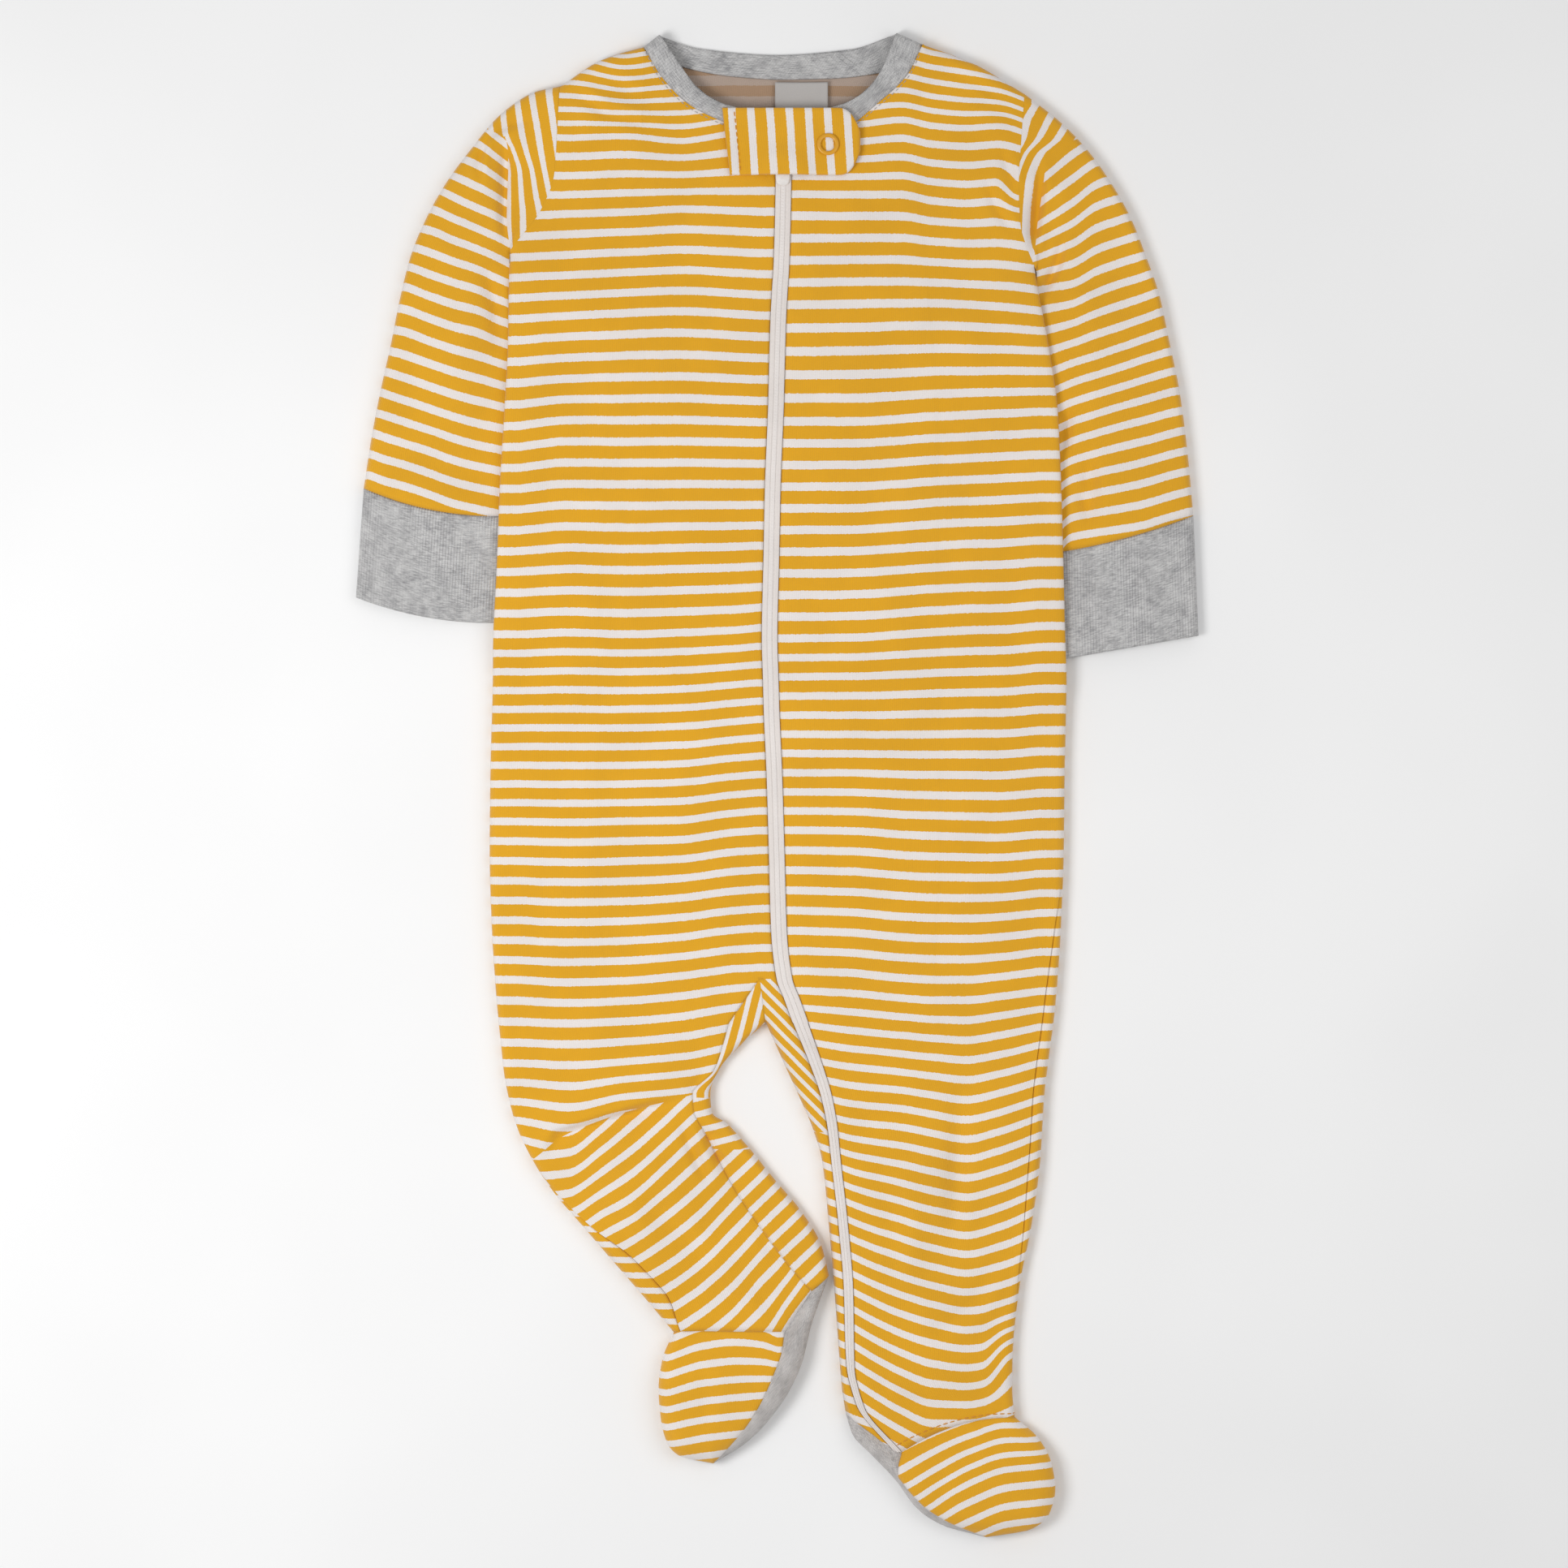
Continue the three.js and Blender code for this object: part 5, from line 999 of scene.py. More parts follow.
arms = {"left": (front_left_arm, back_left[:len(ARM_ROWS), 0]),
        "right": (front_right_arm, back_right[:len(ARM_ROWS), 0])}
for side, ends in arms.items():
    for layer, facing, arm in (("top", "up", ends[0]), ("bottom", "down", ends[1])):
        points = sleeve(side, arm, layer)
        lay(f"sleeve_{side}", facing, points, sleeve_number(side, points), ["last"])
        points, ribs = cuff(side, layer)
        lay(f"cuff_{side}", facing, points, None, ["first"], ribs * np.ones(points.shape[:2]))
print("sleeve grid:", sleeve("left", front_left_arm, "top").shape[:2])

# %% [markdown]
# The neckband is one narrow ring of rib, sewn to the neck edge and folded flat at both shoulders. Its ribs run
# across it, so they fan out where the band curves.

# %% Neckband
BAND_T = np.linspace(0, 1, 12)
BAND_RIB, BAND_RIB_DEPTH, BAND_STEPS, BAND_PUFF, BAND_END = 1.05, 0.22, 560, 0.5, 5


def along(points, steps):
    """Points at even steps along a line of points."""
    length = run_of(points[:, None], 0)[:, 0]
    wanted = np.linspace(0, length[-1], steps)
    return np.stack([np.interp(wanted, length, points[:, k]) for k in range(points.shape[1])], -1), wanted


left_neck = int(np.argmin(np.abs(LEFT_F - NECK_SHARE["left"])))
right_neck = len(RIGHT_F) - 1 - int(np.argmin(np.abs(RIGHT_F - NECK_SHARE["right"])))
zip_top = torso_point(np.array([[SHOULDER_ROW]]), mix(-0.3, 6.1, np.linspace(0, 1, 5))[None], "top")[0]
front_edge = np.concatenate([front_left_top[left_neck:], zip_top[1:], front_right_top[1:right_neck + 1]])
back_x = np.linspace(NECK_LEFT[0], NECK_RIGHT[0], 90)
back_edge = torso_point(np.array([[SHOULDER_ROW]]), back_x[None], "bottom")[0]
for layer, facing, edge in (("top", "up", front_edge), ("bottom", "down", back_edge)):
    line, length = along(edge, BAND_STEPS)
    free = BAND_EDGE[layer](length / length[-1])
    place = mix(line[None, :, :2], free[None], BAND_T[:, None, None])
    points = tube_point(place, layer, place[:, :1], place[:, -1:], np.full(place.shape[:2], float(LOFT)))
    points[0, :, 2] = mix(line[:, 2], points[0, :, 2], 0.5)
    puff = BAND_PUFF * np.sin(np.pi * BAND_T)[:, None] * smooth(run_of(points, 1) / BAND_END)
    puff = puff * smooth((length[-1] - run_of(points, 1)) / BAND_END)
    furrows = np.abs(np.sin(np.pi * length / BAND_RIB)) - RIB_MIDDLE
    ribs = BAND_RIB_DEPTH * furrows[None] * np.ones((len(BAND_T), 1))
    lay("neckband", facing, points, None, ["first"], ribs + puff if layer == "top" else 0.4 * np.abs(ribs))
print("neckband length along the front seam:", round(float(length[-1])), "mm")

# %% [markdown]
# The zip is a white coil between two woven tapes. The coil is modelled as a fine grid whose height follows two
# rows of slanting turns that meet in the middle, which reads as the herringbone of closed teeth.

# %% Zip
CHAIN_RISE, TOOTH = 0.3, 1.25
zip_rows = np.concatenate([mix(SHOULDER_ROW, SPLIT_ROW, np.linspace(0, 1, 1240)),
                           mix(SPLIT_ROW, ANKLE_ROW, np.linspace(0, 1, 560))[1:]])


def zip_grid(share):
    """Points across the zip at these shares of its width, on the torso and on the right leg."""
    upper = zip_rows[zip_rows >= SPLIT_ROW - 1e-6][:, None]
    _, a, b, _, _ = torso_x(upper)
    torso = torso_point(upper, mix(a, b, share[None]), "top")
    rows = zip_rows[zip_rows < SPLIT_ROW - 1e-6]
    t = columns(LEG_RIGHT, rows)
    inner, outer, middle = pair(t, "in"), pair(t, "out"), pair(t, "zip")
    slope = np.where(rows[:, None, None] < ANKLE_BEND, unit(outer - middle), np.array([1.0, 0.0]))
    a, b = middle - t["zipHalf"] * unit(middle - inner), middle + t["zipHalf"] * slope
    place = mix(a, b, share[None, :, None])
    leg = tube_point(place, "top", inner, outer, t["loft"][..., 0])
    return np.concatenate([torso, leg])


for name, start, end in (("zip_tape_left", 0, 0.34), ("zip_tape_right", 0.66, 1)):
    share = np.linspace(0, 1, 6)
    points = zip_grid(mix(start, end, share))[::2]
    inner_side = share if start == 0 else 1 - share
    weave = 0.05 * np.sin(np.pi * run_of(points, 0) / 1.1) + 0.2 * smooth(inner_side * 1.4)[None]
    lay(name, "up", points, None, [], weave)
share = np.linspace(0, 1, 9)
points = zip_grid(mix(0.34, 0.66, share))
herringbone = np.abs(np.sin(np.pi * (run_of(points, 0) / TOOTH + 0.9 * np.abs(share - 0.5)[None])))
dome = CHAIN_RISE * np.sqrt(np.maximum(1 - (2 * share - 1) ** 2, 0))[None]
groove = 0.2 - 0.06 * np.exp(-(((share - 0.5) / 0.09) ** 2))[None]
lay("zip_chain", "up", points, None, [], dome * (0.2 + 0.8 * herringbone) + groove)
print("zip length:", round(float(run_of(points, 0)[-1, 4])), "mm, turns of the coil:",
      round(float(run_of(points, 0)[-1, 4]) / TOOTH))

# %% [markdown]
# The cloth pieces are made now, each with a wall on its inner side. The wall's inner face takes the second
# material: the back of a printed knit is paler than its face, and its colours are darkened further as painted
# shade for the shaded inside of the neck opening.

# %% Cloth objects
WALLS = {"front_left": 0.7, "front_right": 0.7, "back": 0.7, "sleeve_left": 0.7, "sleeve_right": 0.7,
         "toe_cap_left": 0.7, "toe_cap_right": 0.7, "sole_left": 0.8, "sole_right": 0.8,
         "cuff_left": 1.0, "cuff_right": 1.0, "neckband": 0.9,
         "zip_tape_left": 0.6, "zip_tape_right": 0.6, "zip_chain": 0.8}
CLOTH = {node: sew_piece(f"{node}_cloth", node, wall) for node, wall in WALLS.items()}

# %% [markdown]
# The flap over the zip is a small pad of doubled jersey: flat below, rounded over at its edges, and lifted where
# the slider lies under it. It is sewn down at its left end.

# %% Flap, label, snap ring and slider
TAB = dict(left=-20.8, right=34.3, top=277.3, bottom=249.6, thickness=2.4, lift=0.5)
TAB_ROUND, TAB_DEPTH, TAB_SLANT, TAB_ROLL = 10, 0.72, 3.2, 1.5
SLIDER = dict(x=2.5, y=250.2, width=7, length=9.5, thickness=1.5, lift=0.75)
HUMP, HUMP_REACH = 2.3, 9
SNAP = dict(x=21, y=262, outer=4.5, inner=2.85, height=0.9, lift=0.25)
LABEL = dict(left=-0.7, right=21, top=288.6, bottom=265)


def tab_underside(x, y):
    off = np.hypot((x - SLIDER["x"]) / HUMP_REACH, (y - SLIDER["y"]) / HUMP_REACH)
    return LOFT + TAB["lift"] + HUMP * np.exp(-(off ** 4) / 2)


def tab_place(u, v):
    """Straight sides that draw in with the cube of the distance over the last centimetre."""
    x = mix(TAB["left"], TAB["right"], u)
    end = np.clip((x - TAB["right"] + TAB_ROUND) / TAB_ROUND, 0, 1)
    half = (TAB["top"] - TAB["bottom"]) / 2 * (1 - TAB_DEPTH * end ** 3)
    y = (TAB["top"] + TAB["bottom"]) / 2 + half * (1 - 2 * v)
    return x + TAB_SLANT * (1 - u) * (v - 0.5), y, half


def tab_top(x, y, off):
    """Underside plus the thickness, which starts at a third at the edge and is whole one roll in."""
    rise = np.sqrt(1 - (1 - np.clip(off / TAB_ROLL, 0, 1)) ** 2)
    stitch = -0.5 * np.exp(-(((x + 15.6 + (y - 263) * 0.1) / 0.9) ** 2))
    wave = 0.12 * np.sin(x / 3.1 + y / 9) + 0.1 * np.sin(y / 2.7 - x / 7)
    return tab_underside(x, y) + TAB["thickness"] * (0.35 + 0.6 * rise) + (stitch + wave) * rise


edge = [0.006, 0.013, 0.022, 0.978, 0.987, 0.994]
u, v = np.meshgrid(spread([0, 1], 0.6, 55, edge), spread([0, 1], 0.6, 27, edge))
x, y, half = tab_place(u, v)
off = np.minimum(np.minimum(x - TAB["left"] + 1.6, TAB["right"] - x), np.minimum(v, 1 - v) * 2 * half)
off = np.where((u == 0) | (u == 1) | (v == 0) | (v == 1), 0, off)
tab_number = number((x + 18.5 - (277 - y) * 0.065) / 7.85)
lay("neck_tab", "up", np.stack([x, y, tab_top(x, y, off)], -1), tab_number)
rim = np.where((u == 0) | (u == 1) | (v == 0) | (v == 1), tab_top(x, y, off), tab_underside(x, y) + 0.1)
lay("neck_tab", "down", np.stack([x, y, rim], -1), tab_number)
u, v = np.meshgrid(np.linspace(0, 1, 26), np.linspace(0, 1, 28))
x, y = mix(LABEL["left"], LABEL["right"], u), mix(LABEL["top"], LABEL["bottom"], v)
curl = 0.5 * np.exp(-(((u - 1) / 0.08) ** 2)) + 0.18 * np.sin(x / 3.3 + y / 14) + 0.3 * v
lay("neck_label", "up", np.stack([x, y, 2.35 + curl], -1))


def turned(centre, profile, corners=64, power=1.0, scale=(1.0, 1.0)):
    """A profile of radius and height carried round an upright axis, with the circle's sine and cosine raised to
    a power, which below 1 squares it off."""
    angle = full_turn(corners + 1)
    c, s = np.cos(angle), np.sin(angle)
    ring = np.stack([np.sign(c) * np.abs(c) ** power * scale[0],
                     np.sign(s) * np.abs(s) ** power * scale[1]], -1)
    r, z = np.array(profile, float).T
    heights = np.broadcast_to(z[:, None, None], (len(r), len(ring), 1))
    points = np.concatenate([r[:, None, None] * ring[None], heights], axis=-1)
    return points + np.array(centre)


middle_r, half_r = (SNAP["outer"] + SNAP["inner"]) / 2, (SNAP["outer"] - SNAP["inner"]) / 2
angle = full_turn(21)
ring = np.stack([middle_r + half_r * np.cos(angle), SNAP["height"] * (0.5 + 0.5 * np.sin(angle))], -1)
base = float(tab_underside(SNAP["x"], SNAP["y"])) + TAB["thickness"] - 0.15
lay("snap_ring", "up", turned((SNAP["x"], SNAP["y"], base + SNAP["lift"]), ring))
w, t = SLIDER["width"] / 2, SLIDER["thickness"]
dome = [(0, t), (0.45, t), (0.62, t), (0.7, t * 0.86), (0.8, t * 0.86), (0.92, t * 0.78), (0.98, t * 0.6),
        (1, t * 0.4), (0.98, t * 0.12), (0.9, 0), (0, 0)]
lay("zip_slider", "up", turned((SLIDER["x"], SLIDER["y"], LOFT + SLIDER["lift"]), dome, 48, 0.62,
                               (w * 0.86, SLIDER["length"] / 2)))


def solid_piece(name, node):
    """A closed piece without a wall of its own, turned right side out by the sign of its volume."""
    places, cells, numbers, along_cloth = shell(node)
    a, b, c, d = (places[cells[:, k]] for k in range(4))
    volume = (a * np.cross(b, c)).sum() + (a * np.cross(c, d)).sum()
    if volume < 0:
        cells, numbers, along_cloth = cells[:, ::-1], numbers[:, ::-1], along_cloth[:, ::-1]
    corners, sizes, keep = tidy_cells(cells)
    thing = add(name, mesh_from(name, places, corners, sizes, numbers[keep], along_cloth[keep]))
    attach(thing, "root")
    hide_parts(node)
    print(f"{name}: {len(sizes)} faces, {abs(volume) / 6:.0f} cubic mm")
    return thing


CLOTH["neck_tab"] = solid_piece("neck_tab_cloth", "neck_tab")
CLOTH["neck_label"] = sew_piece("neck_label_cloth", "neck_label", 0.5)
SNAP_RING = solid_piece("snap_ring_enamel", "snap_ring")
ZIP_SLIDER = solid_piece("zip_slider_body", "zip_slider")

# %% [markdown]
# Sewing thread shows as rows of short, plump stitches that sink into the cloth at both ends. One stitch is a
# small stretched ball, and the whole row is that ball's points placed along a line in one array.

# %% Stitches
def stitch_row(name, line, pitch, length, radius, share=0.9):
    """Balls of that length and radius at every pitch of a line of points, each along the line's own way."""
    line = np.asarray(line, float)
    total = run_of(line[:, None], 0)[-1, 0]
    count = max(2, int(total / pitch))
    points, _ = along(line, 2 * count + 1)
    centre, way = points[1::2], unit(points[2::2] - points[:-2:2])
    side = unit(np.cross(way, [0, 0, 1.0]))
    up = np.cross(side, way)
    lat, lon = np.linspace(0, np.pi, 6), full_turn(7)
    ball = np.stack([np.cos(lat)[:, None] * np.ones(7), np.sin(lat)[:, None] * np.cos(lon),
                     np.sin(lat)[:, None] * np.sin(lon)], -1).reshape(-1, 3)
    _, first, merged = np.unique(np.round(ball, 4), axis=0, return_index=True, return_inverse=True)
    ball, cells = ball[first], merged.reshape(-1)[quads(6, 7)]
    size = np.array([length / 2 * share, radius, radius * 0.8])
    frames = np.stack([way, side, up], axis=1)
    places = (centre[:, None] + np.einsum("vi,sij->svj", ball * size, frames)).reshape(-1, 3)
    cells = (cells[None] + len(ball) * np.arange(len(centre))[:, None, None]).reshape(-1, 4)
    a, b, c = places[cells[:, 0]], places[cells[:, 1]], places[cells[:, 2]]
    middle = np.repeat(centre, len(merged.reshape(-1)[quads(6, 7)]), axis=0)
    outward = (np.cross(b - a, c - a) * (a - middle)).sum()
    corners, sizes, _ = tidy_cells(cells if outward > 0 else cells[:, ::-1])
    thing = add(name, mesh_from(name, places, corners, sizes))
    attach(thing, "root")
    print(f"{name}: {len(centre)} stitches over {total:.0f} mm")
    return thing


def on_skin(points, lift):
    return points + np.array([0, 0, lift])


def beside(grid, side, inset):
    """The line of points in a grid that lies an inset in from one of its sides."""
    if side in ("first", "last"):
        grid = np.swapaxes(grid if side == "first" else grid[::-1], 0, 1)
    elif side == "right":
        grid = grid[:, ::-1]
    run = run_of(grid, 1)
    k = np.argmin(np.abs(run - inset), axis=1)
    return grid[np.arange(len(grid)), k]


FLAP_SEAM, FLAP_POINTS, FAR_IN, NECK_INSET = 0.085, 30, 9.0, 1.4
x, y, half = tab_place(np.full(FLAP_POINTS, FLAP_SEAM), np.linspace(0.05, 0.95, FLAP_POINTS))
flap_line = np.stack([x, y, tab_top(x, y, np.full(FLAP_POINTS, FAR_IN)) + 0.1], -1)
toe_line = on_skin(beside(right_front, "last", 2.2), 0.12)
neck_left_line = on_skin(beside(PATCHES["front_left"][0][1], "first", NECK_INSET)[left_neck:-2], 0.14)
neck_right_line = on_skin(beside(PATCHES["front_right"][0][1], "first", NECK_INSET)[2:right_neck], 0.14)
STITCHES = [
    stitch_row("flap_topstitch", flap_line, 2.6, 2.3, 0.28),
    stitch_row("toe_cap_topstitch", toe_line, 2.9, 2.4, 0.26),
    stitch_row("neck_seam_stitches", neck_left_line, 2.3, 1.7, 0.17),
    stitch_row("neck_seam_stitches_right", neck_right_line, 2.3, 1.7, 0.17),
]

# %% [markdown]
# The finishes start with effects that several materials share. Each is a node group built once: the printed
# stripes, the surface of a knit, and the flecks of heather yarn. The shader itself stays in each material.

# %% Node helpers
def linear(*rgb):
    """A screen colour of 0 to 255 a channel as linear light."""
    c = np.array(rgb, float) / 255
    return (*np.where(c <= 0.04045, c / 12.92, ((c + 0.055) / 1.055) ** 2.4).tolist(), 1.0)


def put(tree, kind, values=(), **settings):
    """A node with its settings, whose inputs take numbers, colours or other nodes' outputs."""
    made = tree.nodes.new("ShaderNode" + kind)
    for key, value in settings.items():
        setattr(made, key, value)
    for key, value in dict(values).items():
        if isinstance(value, bpy.types.NodeSocket):
            tree.links.new(value, made.inputs[key])
        else:
            made.inputs[key].default_value = value
    return made


def calc(tree, operation, a, b=0.0, clamp=False):
    return put(tree, "Math", {0: a, 1: b}, operation=operation, use_clamp=clamp).outputs[0]


def blend_colours(tree, share, a, b, mode="MIX"):
    made = put(tree, "Mix", {0: share, 6: a, 7: b}, data_type="RGBA", blend_type=mode)
    return made.outputs[2]


def ramp(tree, value, low, high, start=0.0, end=1.0, kind="SMOOTHSTEP"):
    return put(tree, "MapRange", {0: value, 1: low, 2: high, 3: start, 4: end}, interpolation_type=kind).outputs[0]


def noise(tree, where, scale, detail=2.0, roughness=0.5):
    return put(tree, "TexNoise", {"Vector": where, "Scale": scale, "Detail": detail,
                                  "Roughness": roughness}).outputs["Fac"]


def effect(name, takes, gives):
    """An empty node group with named inputs and outputs."""
    tree = bpy.data.node_groups.new(name, "ShaderNodeTree")
    for kind, wanted in (("INPUT", takes), ("OUTPUT", gives)):
        for label, (socket, value) in wanted.items():
            made = tree.interface.new_socket(name=label, in_out=kind, socket_type=f"NodeSocket{socket}")
            if value is not None:
                made.default_value = value
    return tree, tree.nodes.new("NodeGroupInput").outputs, tree.nodes.new("NodeGroupOutput").inputs


# %% [markdown]
# The stripes are coloured by a stripe number, and their edges wander by a stitch or so. White takes about two
# fifths of each repeat.

# %% Printed stripes
STRIPES, ins, outs = effect("Printed stripes", {
    "Number": ("Vector", None), "Position": ("Vector", None), "Ground": ("Color", (1, 1, 1, 1)),
    "Band": ("Color", (1, 1, 1, 1)), "Share": ("Float", 0.4), "Ragged": ("Float", 0.05),
}, {"Color": ("Color", None), "Mask": ("Float", None)})
parts = put(STRIPES, "SeparateXYZ", {0: ins["Number"]}).outputs
choice = calc(STRIPES, "GREATER_THAN", parts[2], 0.0)
gap = calc(STRIPES, "MULTIPLY", calc(STRIPES, "SUBTRACT", parts[1], parts[0]), choice)
phase = calc(STRIPES, "ADD", parts[0], gap)
fine = calc(STRIPES, "SUBTRACT", noise(STRIPES, ins["Position"], 1500, 1.0), 0.5)
slow = calc(STRIPES, "SUBTRACT", noise(STRIPES, ins["Position"], 70, 1.0), 0.5)
wander = calc(STRIPES, "MULTIPLY", calc(STRIPES, "ADD", fine, calc(STRIPES, "MULTIPLY", slow, 0.9)), ins["Ragged"])
turn = calc(STRIPES, "FRACT", calc(STRIPES, "ADD", calc(STRIPES, "ADD", phase, wander), 1000.5))
away = calc(STRIPES, "ABSOLUTE", calc(STRIPES, "SUBTRACT", turn, 0.5))
edge_of = calc(STRIPES, "SUBTRACT", calc(STRIPES, "MULTIPLY", ins["Share"], 0.5), away)
mask = ramp(STRIPES, edge_of, -0.012, 0.012)
STRIPES.links.new(mask, outs["Mask"])
STRIPES.links.new(blend_colours(STRIPES, mask, ins["Ground"], ins["Band"]), outs["Color"])

# %% [markdown]
# A jersey knit is rows of small V shapes, 0.85 mm wide here. They give the cloth a faint upright grain, a soft
# bump, and furrows that are darkened a little as painted shade. Slower noise adds the unevenness of a washed cotton.

# %% Knit surface
KNIT, ins, outs = effect("Knit surface", {
    "Color": ("Color", (1, 1, 1, 1)), "Map": ("Vector", None), "Position": ("Vector", None),
    "Wale": ("Float", 0.00085), "Course": ("Float", 0.0007), "Depth": ("Float", 0.4),
}, {"Color": ("Color", None), "Roughness": ("Float", None), "Normal": ("Vector", None)})
parts = put(KNIT, "SeparateXYZ", {0: ins["Map"]}).outputs
jitter = calc(KNIT, "MULTIPLY", noise(KNIT, ins["Position"], 260, 2.0), 0.00035)
wale = calc(KNIT, "FRACT", calc(KNIT, "DIVIDE", calc(KNIT, "ADD", parts[0], jitter), ins["Wale"]))
leg = calc(KNIT, "ABSOLUTE", calc(KNIT, "SUBTRACT", wale, 0.5))
course = calc(KNIT, "ADD", calc(KNIT, "DIVIDE", calc(KNIT, "ADD", parts[1], jitter), ins["Course"]), leg)
loop = calc(KNIT, "ABSOLUTE", calc(KNIT, "SUBTRACT", calc(KNIT, "FRACT", course), 0.5))
furrow = ramp(KNIT, leg, 0.34, 0.5)
height = calc(KNIT, "SUBTRACT", calc(KNIT, "MULTIPLY", loop, 0.8), furrow)
fuzz = noise(KNIT, ins["Position"], 2600, 2.0, 0.7)
height = calc(KNIT, "ADD", height, calc(KNIT, "MULTIPLY", fuzz, 0.7))
bump = put(KNIT, "Bump", {"Strength": ins["Depth"], "Distance": 0.0004, "Height": height})
mottle = noise(KNIT, ins["Position"], 45, 3.0, 0.6)
# Random mottling of washed cotton, and the furrows 5 per cent darker as painted shade.
shade = calc(KNIT, "ADD", ramp(KNIT, mottle, 0.3, 0.7, 0.965, 1.02), calc(KNIT, "MULTIPLY", furrow, -0.05))
shade = calc(KNIT, "ADD", shade, calc(KNIT, "MULTIPLY", calc(KNIT, "SUBTRACT", fuzz, 0.5), 0.14))
grey = put(KNIT, "CombineColor", {0: shade, 1: shade, 2: shade}).outputs[0]
KNIT.links.new(blend_colours(KNIT, 1.0, ins["Color"], grey, "MULTIPLY"), outs["Color"])
KNIT.links.new(ramp(KNIT, fuzz, 0.2, 0.8, 0.82, 0.97), outs["Roughness"])
KNIT.links.new(bump.outputs[0], outs["Normal"])

# %% [markdown]
# Heather grey is spun from light and dark fibres, so it shows short flecks along the yarn and soft clouds.

# %% Heather yarn
HEATHER, ins, outs = effect("Heather yarn", {
    "Map": ("Vector", None), "Position": ("Vector", None), "Light": ("Color", (1, 1, 1, 1)),
    "Dark": ("Color", (0, 0, 0, 1)), "Stretch": ("Float", 4.0),
}, {"Color": ("Color", None)})
parts = put(HEATHER, "SeparateXYZ", {0: ins["Map"]}).outputs
long_way = calc(HEATHER, "DIVIDE", parts[0], ins["Stretch"])
yarn = put(HEATHER, "CombineXYZ", {0: long_way, 1: parts[1]}).outputs[0]
flecks = noise(HEATHER, yarn, 1700, 3.0, 0.7)
clouds = noise(HEATHER, ins["Position"], 150, 3.0, 0.6)
total = calc(HEATHER, "ADD", calc(HEATHER, "MULTIPLY", flecks, 0.65), calc(HEATHER, "MULTIPLY", clouds, 0.35))
HEATHER.links.new(blend_colours(HEATHER, ramp(HEATHER, total, 0.3, 0.66), ins["Dark"], ins["Light"]), outs["Color"])
print("effects:", [g.name for g in bpy.data.node_groups])

# %% [markdown]
# Each material then joins the effects it needs to one Principled shader, with the slight sheen of brushed
# cotton set on the shader itself.

# %% Materials
MUSTARD, WHITE = linear(231, 168, 18), linear(240, 233, 229)
GREY_LIGHT, GREY_DARK = linear(212, 211, 210), linear(146, 145, 147)
RAGGED = 0.07


def material(name, **settings):
    made = bpy.data.materials.new(name)
    made.use_nodes = True
    tree = made.node_tree
    shader = tree.nodes["Principled BSDF"]
    for key, value in settings.items():
        shader.inputs[key.replace("_", " ")].default_value = value
    where = tree.nodes.new("ShaderNodeTexCoord").outputs["Object"]
    cloth_map = put(tree, "UVMap", uv_map="cloth").outputs[0]
    return made, tree, shader.inputs, where, cloth_map


def wear(tree, knit, shader):
    """Join the colour, roughness and normal of a knit to the shader."""
    for effect_socket, shader_socket in (("Color", "Base Color"), ("Roughness", "Roughness"), ("Normal", "Normal")):
        tree.links.new(knit[effect_socket], shader[shader_socket])


def use(tree, group, **values):
    made = tree.nodes.new("ShaderNodeGroup")
    made.node_tree = group
    for key, value in values.items():
        if isinstance(value, bpy.types.NodeSocket):
            tree.links.new(value, made.inputs[key])
        else:
            made.inputs[key].default_value = value
    return made.outputs


def striped(name, ground, band, depth, share=0.39):
    made, tree, shader, where, cloth_map = material(name, Sheen_Weight=0.25, Sheen_Roughness=0.5)
    numbers = put(tree, "Attribute", attribute_name="stripe").outputs["Vector"]
    print_of = use(tree, STRIPES, Number=numbers, Position=where, Ground=ground, Band=band, Share=share,
                   Ragged=RAGGED)
    knit = use(tree, KNIT, Color=print_of["Color"], Map=cloth_map, Position=where, Depth=depth)
    wear(tree, knit, shader)
    return made


def heather(name, depth, wale, course, stretch, light=GREY_LIGHT, dark=GREY_DARK):
    made, tree, shader, where, cloth_map = material(name, Sheen_Weight=0.3, Sheen_Roughness=0.5)
    yarn = use(tree, HEATHER, Map=cloth_map, Position=where, Light=light, Dark=dark, Stretch=stretch)
    knit = use(tree, KNIT, Color=yarn["Color"], Map=cloth_map, Position=where, Depth=depth, Wale=wale, Course=course)
    wear(tree, knit, shader)
    return made


JERSEY = striped("Striped jersey", MUSTARD, WHITE, 0.35)
# The wrong side's two colours are set darker than the cloth's own: painted shade for the inside of the neck opening.
WRONG_SIDE_WITH_PAINTED_SHADE = striped("Wrong side of the jersey, darkened as painted shade", linear(176, 144, 116), linear(186, 166, 152), 0.5, 0.5)
RIB = heather("Grey rib", 0.5, 0.0012, 0.0009, 5.0)
SOLE = heather("Grey sole jersey", 0.5, 0.0009, 0.0008, 3.0, linear(219, 214, 211), linear(160, 156, 154))


def plain_weave(name, colour, depth, wale, course, **settings):
    made, tree, shader, where, cloth_map = material(name, **settings)
    knit = use(tree, KNIT, Color=colour, Map=cloth_map, Position=where, Depth=depth, Wale=wale, Course=course)
    wear(tree, knit, shader)
    return made


ZIP_WHITE = plain_weave("Zip tape weave", linear(236, 228, 223), 0.35, 0.0007, 0.0006, Sheen_Weight=0.15)
COIL = plain_weave("Zip coil yarn", linear(238, 231, 227), 0.25, 0.0005, 0.0006, Sheen_Weight=0.1)
SATIN = plain_weave("Label satin", linear(186, 182, 179), 0.12, 0.0003, 0.0012, Sheen_Weight=0.2, Anisotropic=0.5)
THREAD = plain_weave("Mustard thread", linear(214, 146, 30), 0.3, 0.0004, 0.0004, Sheen_Weight=0.3)
GREY_THREAD = plain_weave("Grey thread", linear(176, 172, 170), 0.3, 0.0004, 0.0004, Sheen_Weight=0.3)


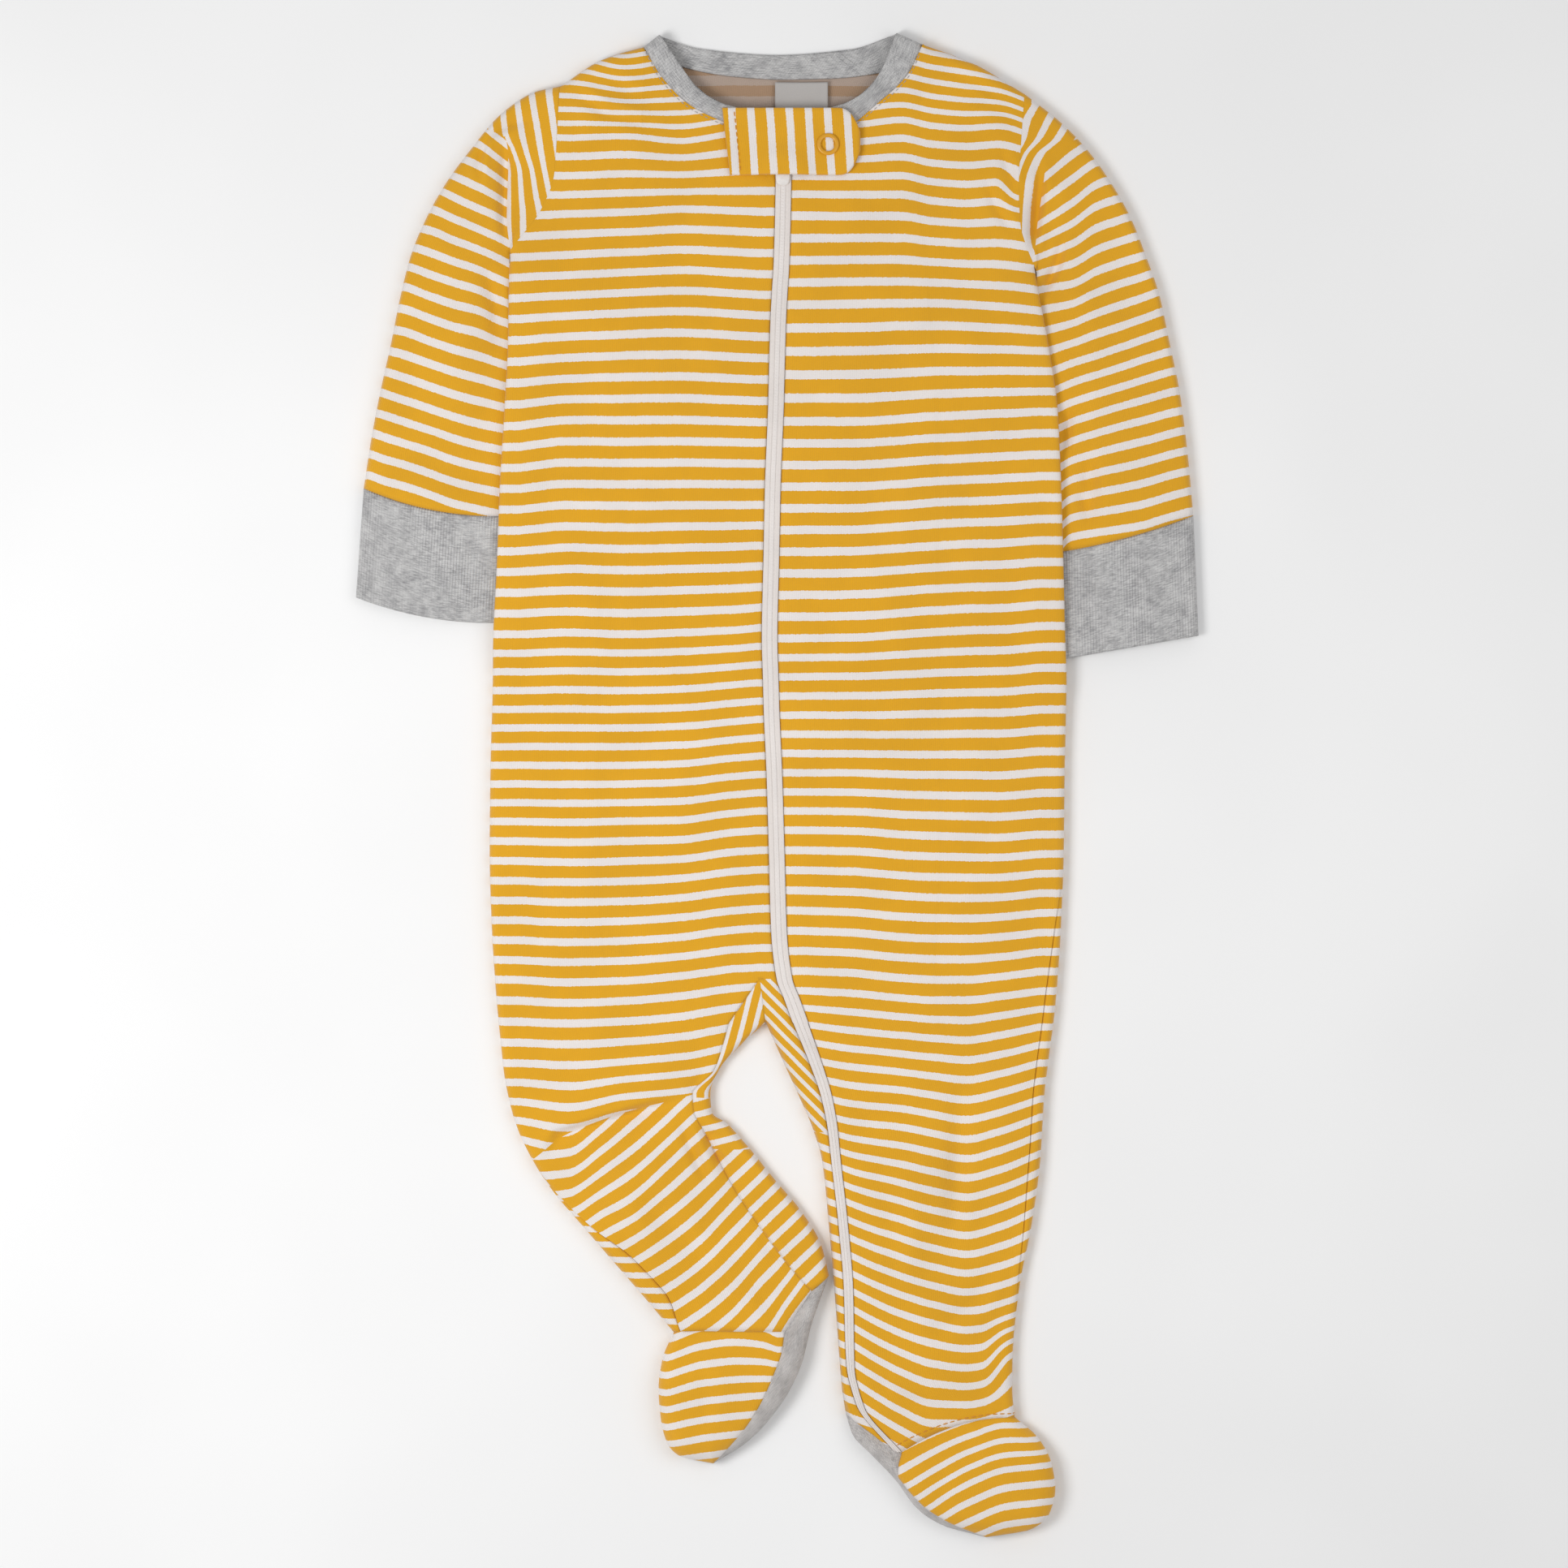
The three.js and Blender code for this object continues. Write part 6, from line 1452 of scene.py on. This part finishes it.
def moulded(name, colour, low, high):
    """Moulded plastic: a colour that is a little uneven, and a roughness that varies with handling."""
    made, tree, shader, where, _ = material(name, IOR=1.48)
    spots = noise(tree, where, 900, 3.0)
    tree.links.new(blend_colours(tree, ramp(tree, spots, 0.3, 0.7, 0.0, 0.25), colour,
                                 tuple(0.8 * c for c in colour[:3]) + (1.0,)), shader["Base Color"])
    tree.links.new(ramp(tree, noise(tree, where, 300, 2.0), 0.3, 0.7, low, high), shader["Roughness"])
    bump = put(tree, "Bump", {"Strength": 0.08, "Distance": 0.0002, "Height": noise(tree, where, 2400, 2.0)})
    tree.links.new(bump.outputs[0], shader["Normal"])
    return made


ENAMEL = moulded("Snap enamel", linear(226, 162, 34), 0.28, 0.42)
PLASTIC = moulded("Slider plastic", linear(236, 231, 227), 0.35, 0.5)
FINISH = {
    "striped_jersey": (JERSEY, WRONG_SIDE_WITH_PAINTED_SHADE), "grey_rib": (RIB, RIB), "grey_sole": (SOLE, SOLE),
    "zip_tape": (ZIP_WHITE, ZIP_WHITE), "zip_coil": (COIL, COIL), "label_satin": (SATIN, SATIN),
    "snap_enamel": (ENAMEL,), "zip_slider": (PLASTIC,),
}
SLOTS = {
    "front_left": "striped_jersey", "front_right": "striped_jersey", "back": "striped_jersey",
    "sleeve_left": "striped_jersey", "sleeve_right": "striped_jersey", "toe_cap_left": "striped_jersey",
    "toe_cap_right": "striped_jersey", "neck_tab": "striped_jersey", "sole_left": "grey_sole",
    "sole_right": "grey_sole", "cuff_left": "grey_rib", "cuff_right": "grey_rib", "neckband": "grey_rib",
    "zip_tape_left": "zip_tape", "zip_tape_right": "zip_tape", "zip_chain": "zip_coil",
    "neck_label": "label_satin",
}


def dress(thing, finishes):
    for finish in finishes:
        thing.data.materials.append(finish)


for node, slot in SLOTS.items():
    dress(CLOTH[node], FINISH[slot])
dress(SNAP_RING, FINISH["snap_enamel"])
dress(ZIP_SLIDER, FINISH["zip_slider"])
for row in STITCHES:
    row.data.materials.append(GREY_THREAD if "neck" in row.name else THREAD)
print("materials:", len(bpy.data.materials))

# %% [markdown]
# A table lists what each piece of cloth was cut to before it was sewn; the script prints each cut's area beside
# the area as laid. Width and length are those of the flat cut in metres, and the area is the cut's own, because
# none of them is a plain rectangle.

# %% Cut sizes
def cloth_area(node):
    """Area of one face of a piece's grids in square metres."""
    places, cells, _, _ = shell(node)
    a, b, c, d = (places[cells[:, k]] for k in range(4))
    doubled = np.linalg.norm(np.cross(b - a, c - a), axis=1) + np.linalg.norm(np.cross(c - a, d - a), axis=1)
    return float(doubled.sum() / 2) * MM ** 2


# Width, length and area of each cut, and what it rests on. A tape shows as a strip 3 mm wide.
CUTS = {
    "front_left": (0.135, 0.59, 0.0535, ["back"]), "front_right": (0.125, 0.60, 0.0555, ["back"]),
    "back": (0.26, 0.62, 0.1195, ["floor"]), "sleeve_left": (0.16, 0.185, 0.0178, ["floor"]),
    "sleeve_right": (0.16, 0.185, 0.0187, ["floor"]), "toe_cap_left": (0.068, 0.068, 0.0032, ["floor"]),
    "toe_cap_right": (0.068, 0.068, 0.0032, ["floor"]), "sole_left": (0.072, 0.10, 0.0040, ["floor"]),
    "sole_right": (0.07, 0.10, 0.0035, ["floor"]), "cuff_left": (0.133, 0.047, 0.0061, ["floor"]),
    "cuff_right": (0.13, 0.048, 0.0060, ["floor"]), "neckband": (0.26, 0.014, 0.0027, ["back", "front_left"]),
    "zip_tape_left": (0.010, 0.548, 0.00165, ["back"]), "zip_tape_right": (0.010, 0.548, 0.00165, ["back"]),
    "neck_tab": (0.0565, 0.0285, 0.00155, ["front_left"]),
    "neck_label": (0.022, 0.0245, 0.00053, ["back"]),
}
for node, (width, length, area, rests) in CUTS.items():
    rests = [name if name == "floor" else CLOTH[name].name for name in rests]
    print(f"{node}: {cloth_area(node) * 1e4:.1f} square cm as laid, cut {area * 1e4:.1f}")

# %% [markdown]
# The stand-in for a photo studio: a pale floor, one soft light from the left, a weaker one from the right, and a
# pale sky. The camera looks straight down through a long lens, as the picture was taken.

# %% Floor, lights and camera
scene = bpy.context.scene
scene.view_settings.view_transform = "Standard"
scene.view_settings.look = "None"
floor_x, floor_y = np.meshgrid(np.linspace(-1.5, 1.5, 7) / MM, np.linspace(-1.5, 1.5, 7) / MM)
floor_points = np.stack([floor_x, floor_y, 0 * floor_x - 0.3], -1).reshape(-1, 3)
floor_cells = quads(7, 7)[:, ::-1]
floor = add("floor", mesh_from("floor", floor_points, floor_cells.ravel(), np.full(len(floor_cells), 4)))
paper, tree, shader, where, _ = material("Pale paper", Roughness=0.9)
tree.links.new(blend_colours(tree, ramp(tree, noise(tree, where, 6, 2.0), 0.3, 0.7), (0.93, 0.93, 0.93, 1),
                             (0.96, 0.96, 0.96, 1)), shader["Base Color"])
floor.data.materials.append(paper)


def lamp(name, place, aim, size, power):
    light = bpy.data.lights.new(name, "AREA")
    light.size, light.energy = size, power
    thing = bpy.data.objects.new(name, light)
    thing.location = place
    way = np.array(aim, float) - np.array(place, float)
    thing.rotation_euler = (np.arccos(-way[2] / np.linalg.norm(way)), 0, np.arctan2(way[1], way[0]) - np.pi / 2)
    scene.collection.objects.link(thing)


lamp("key", (-0.55, -0.1, 0.85), (0, 0, 0), 0.4, 4.7)
lamp("fill", (0.6, 0.1, 0.95), (0, 0, 0), 0.8, 2.5)
world = bpy.data.worlds.new("studio")
world.use_nodes = True
world.node_tree.nodes["Background"].inputs["Color"].default_value = (1, 1, 1, 1)
world.node_tree.nodes["Background"].inputs["Strength"].default_value = 0.45
scene.world = world

FRAME_WIDTH, LENS, SENSOR, FOCUS_HEIGHT = 0.644, 100, 36, 0.005
camera_data = bpy.data.cameras.new("camera")
camera_data.lens, camera_data.sensor_width = LENS, SENSOR
camera = bpy.data.objects.new("camera", camera_data)
camera.location = (0.003, 0, FOCUS_HEIGHT + FRAME_WIDTH * LENS / SENSOR)
scene.collection.objects.link(camera)
scene.camera = camera
print("camera height", round(camera.location.z, 3), "m")
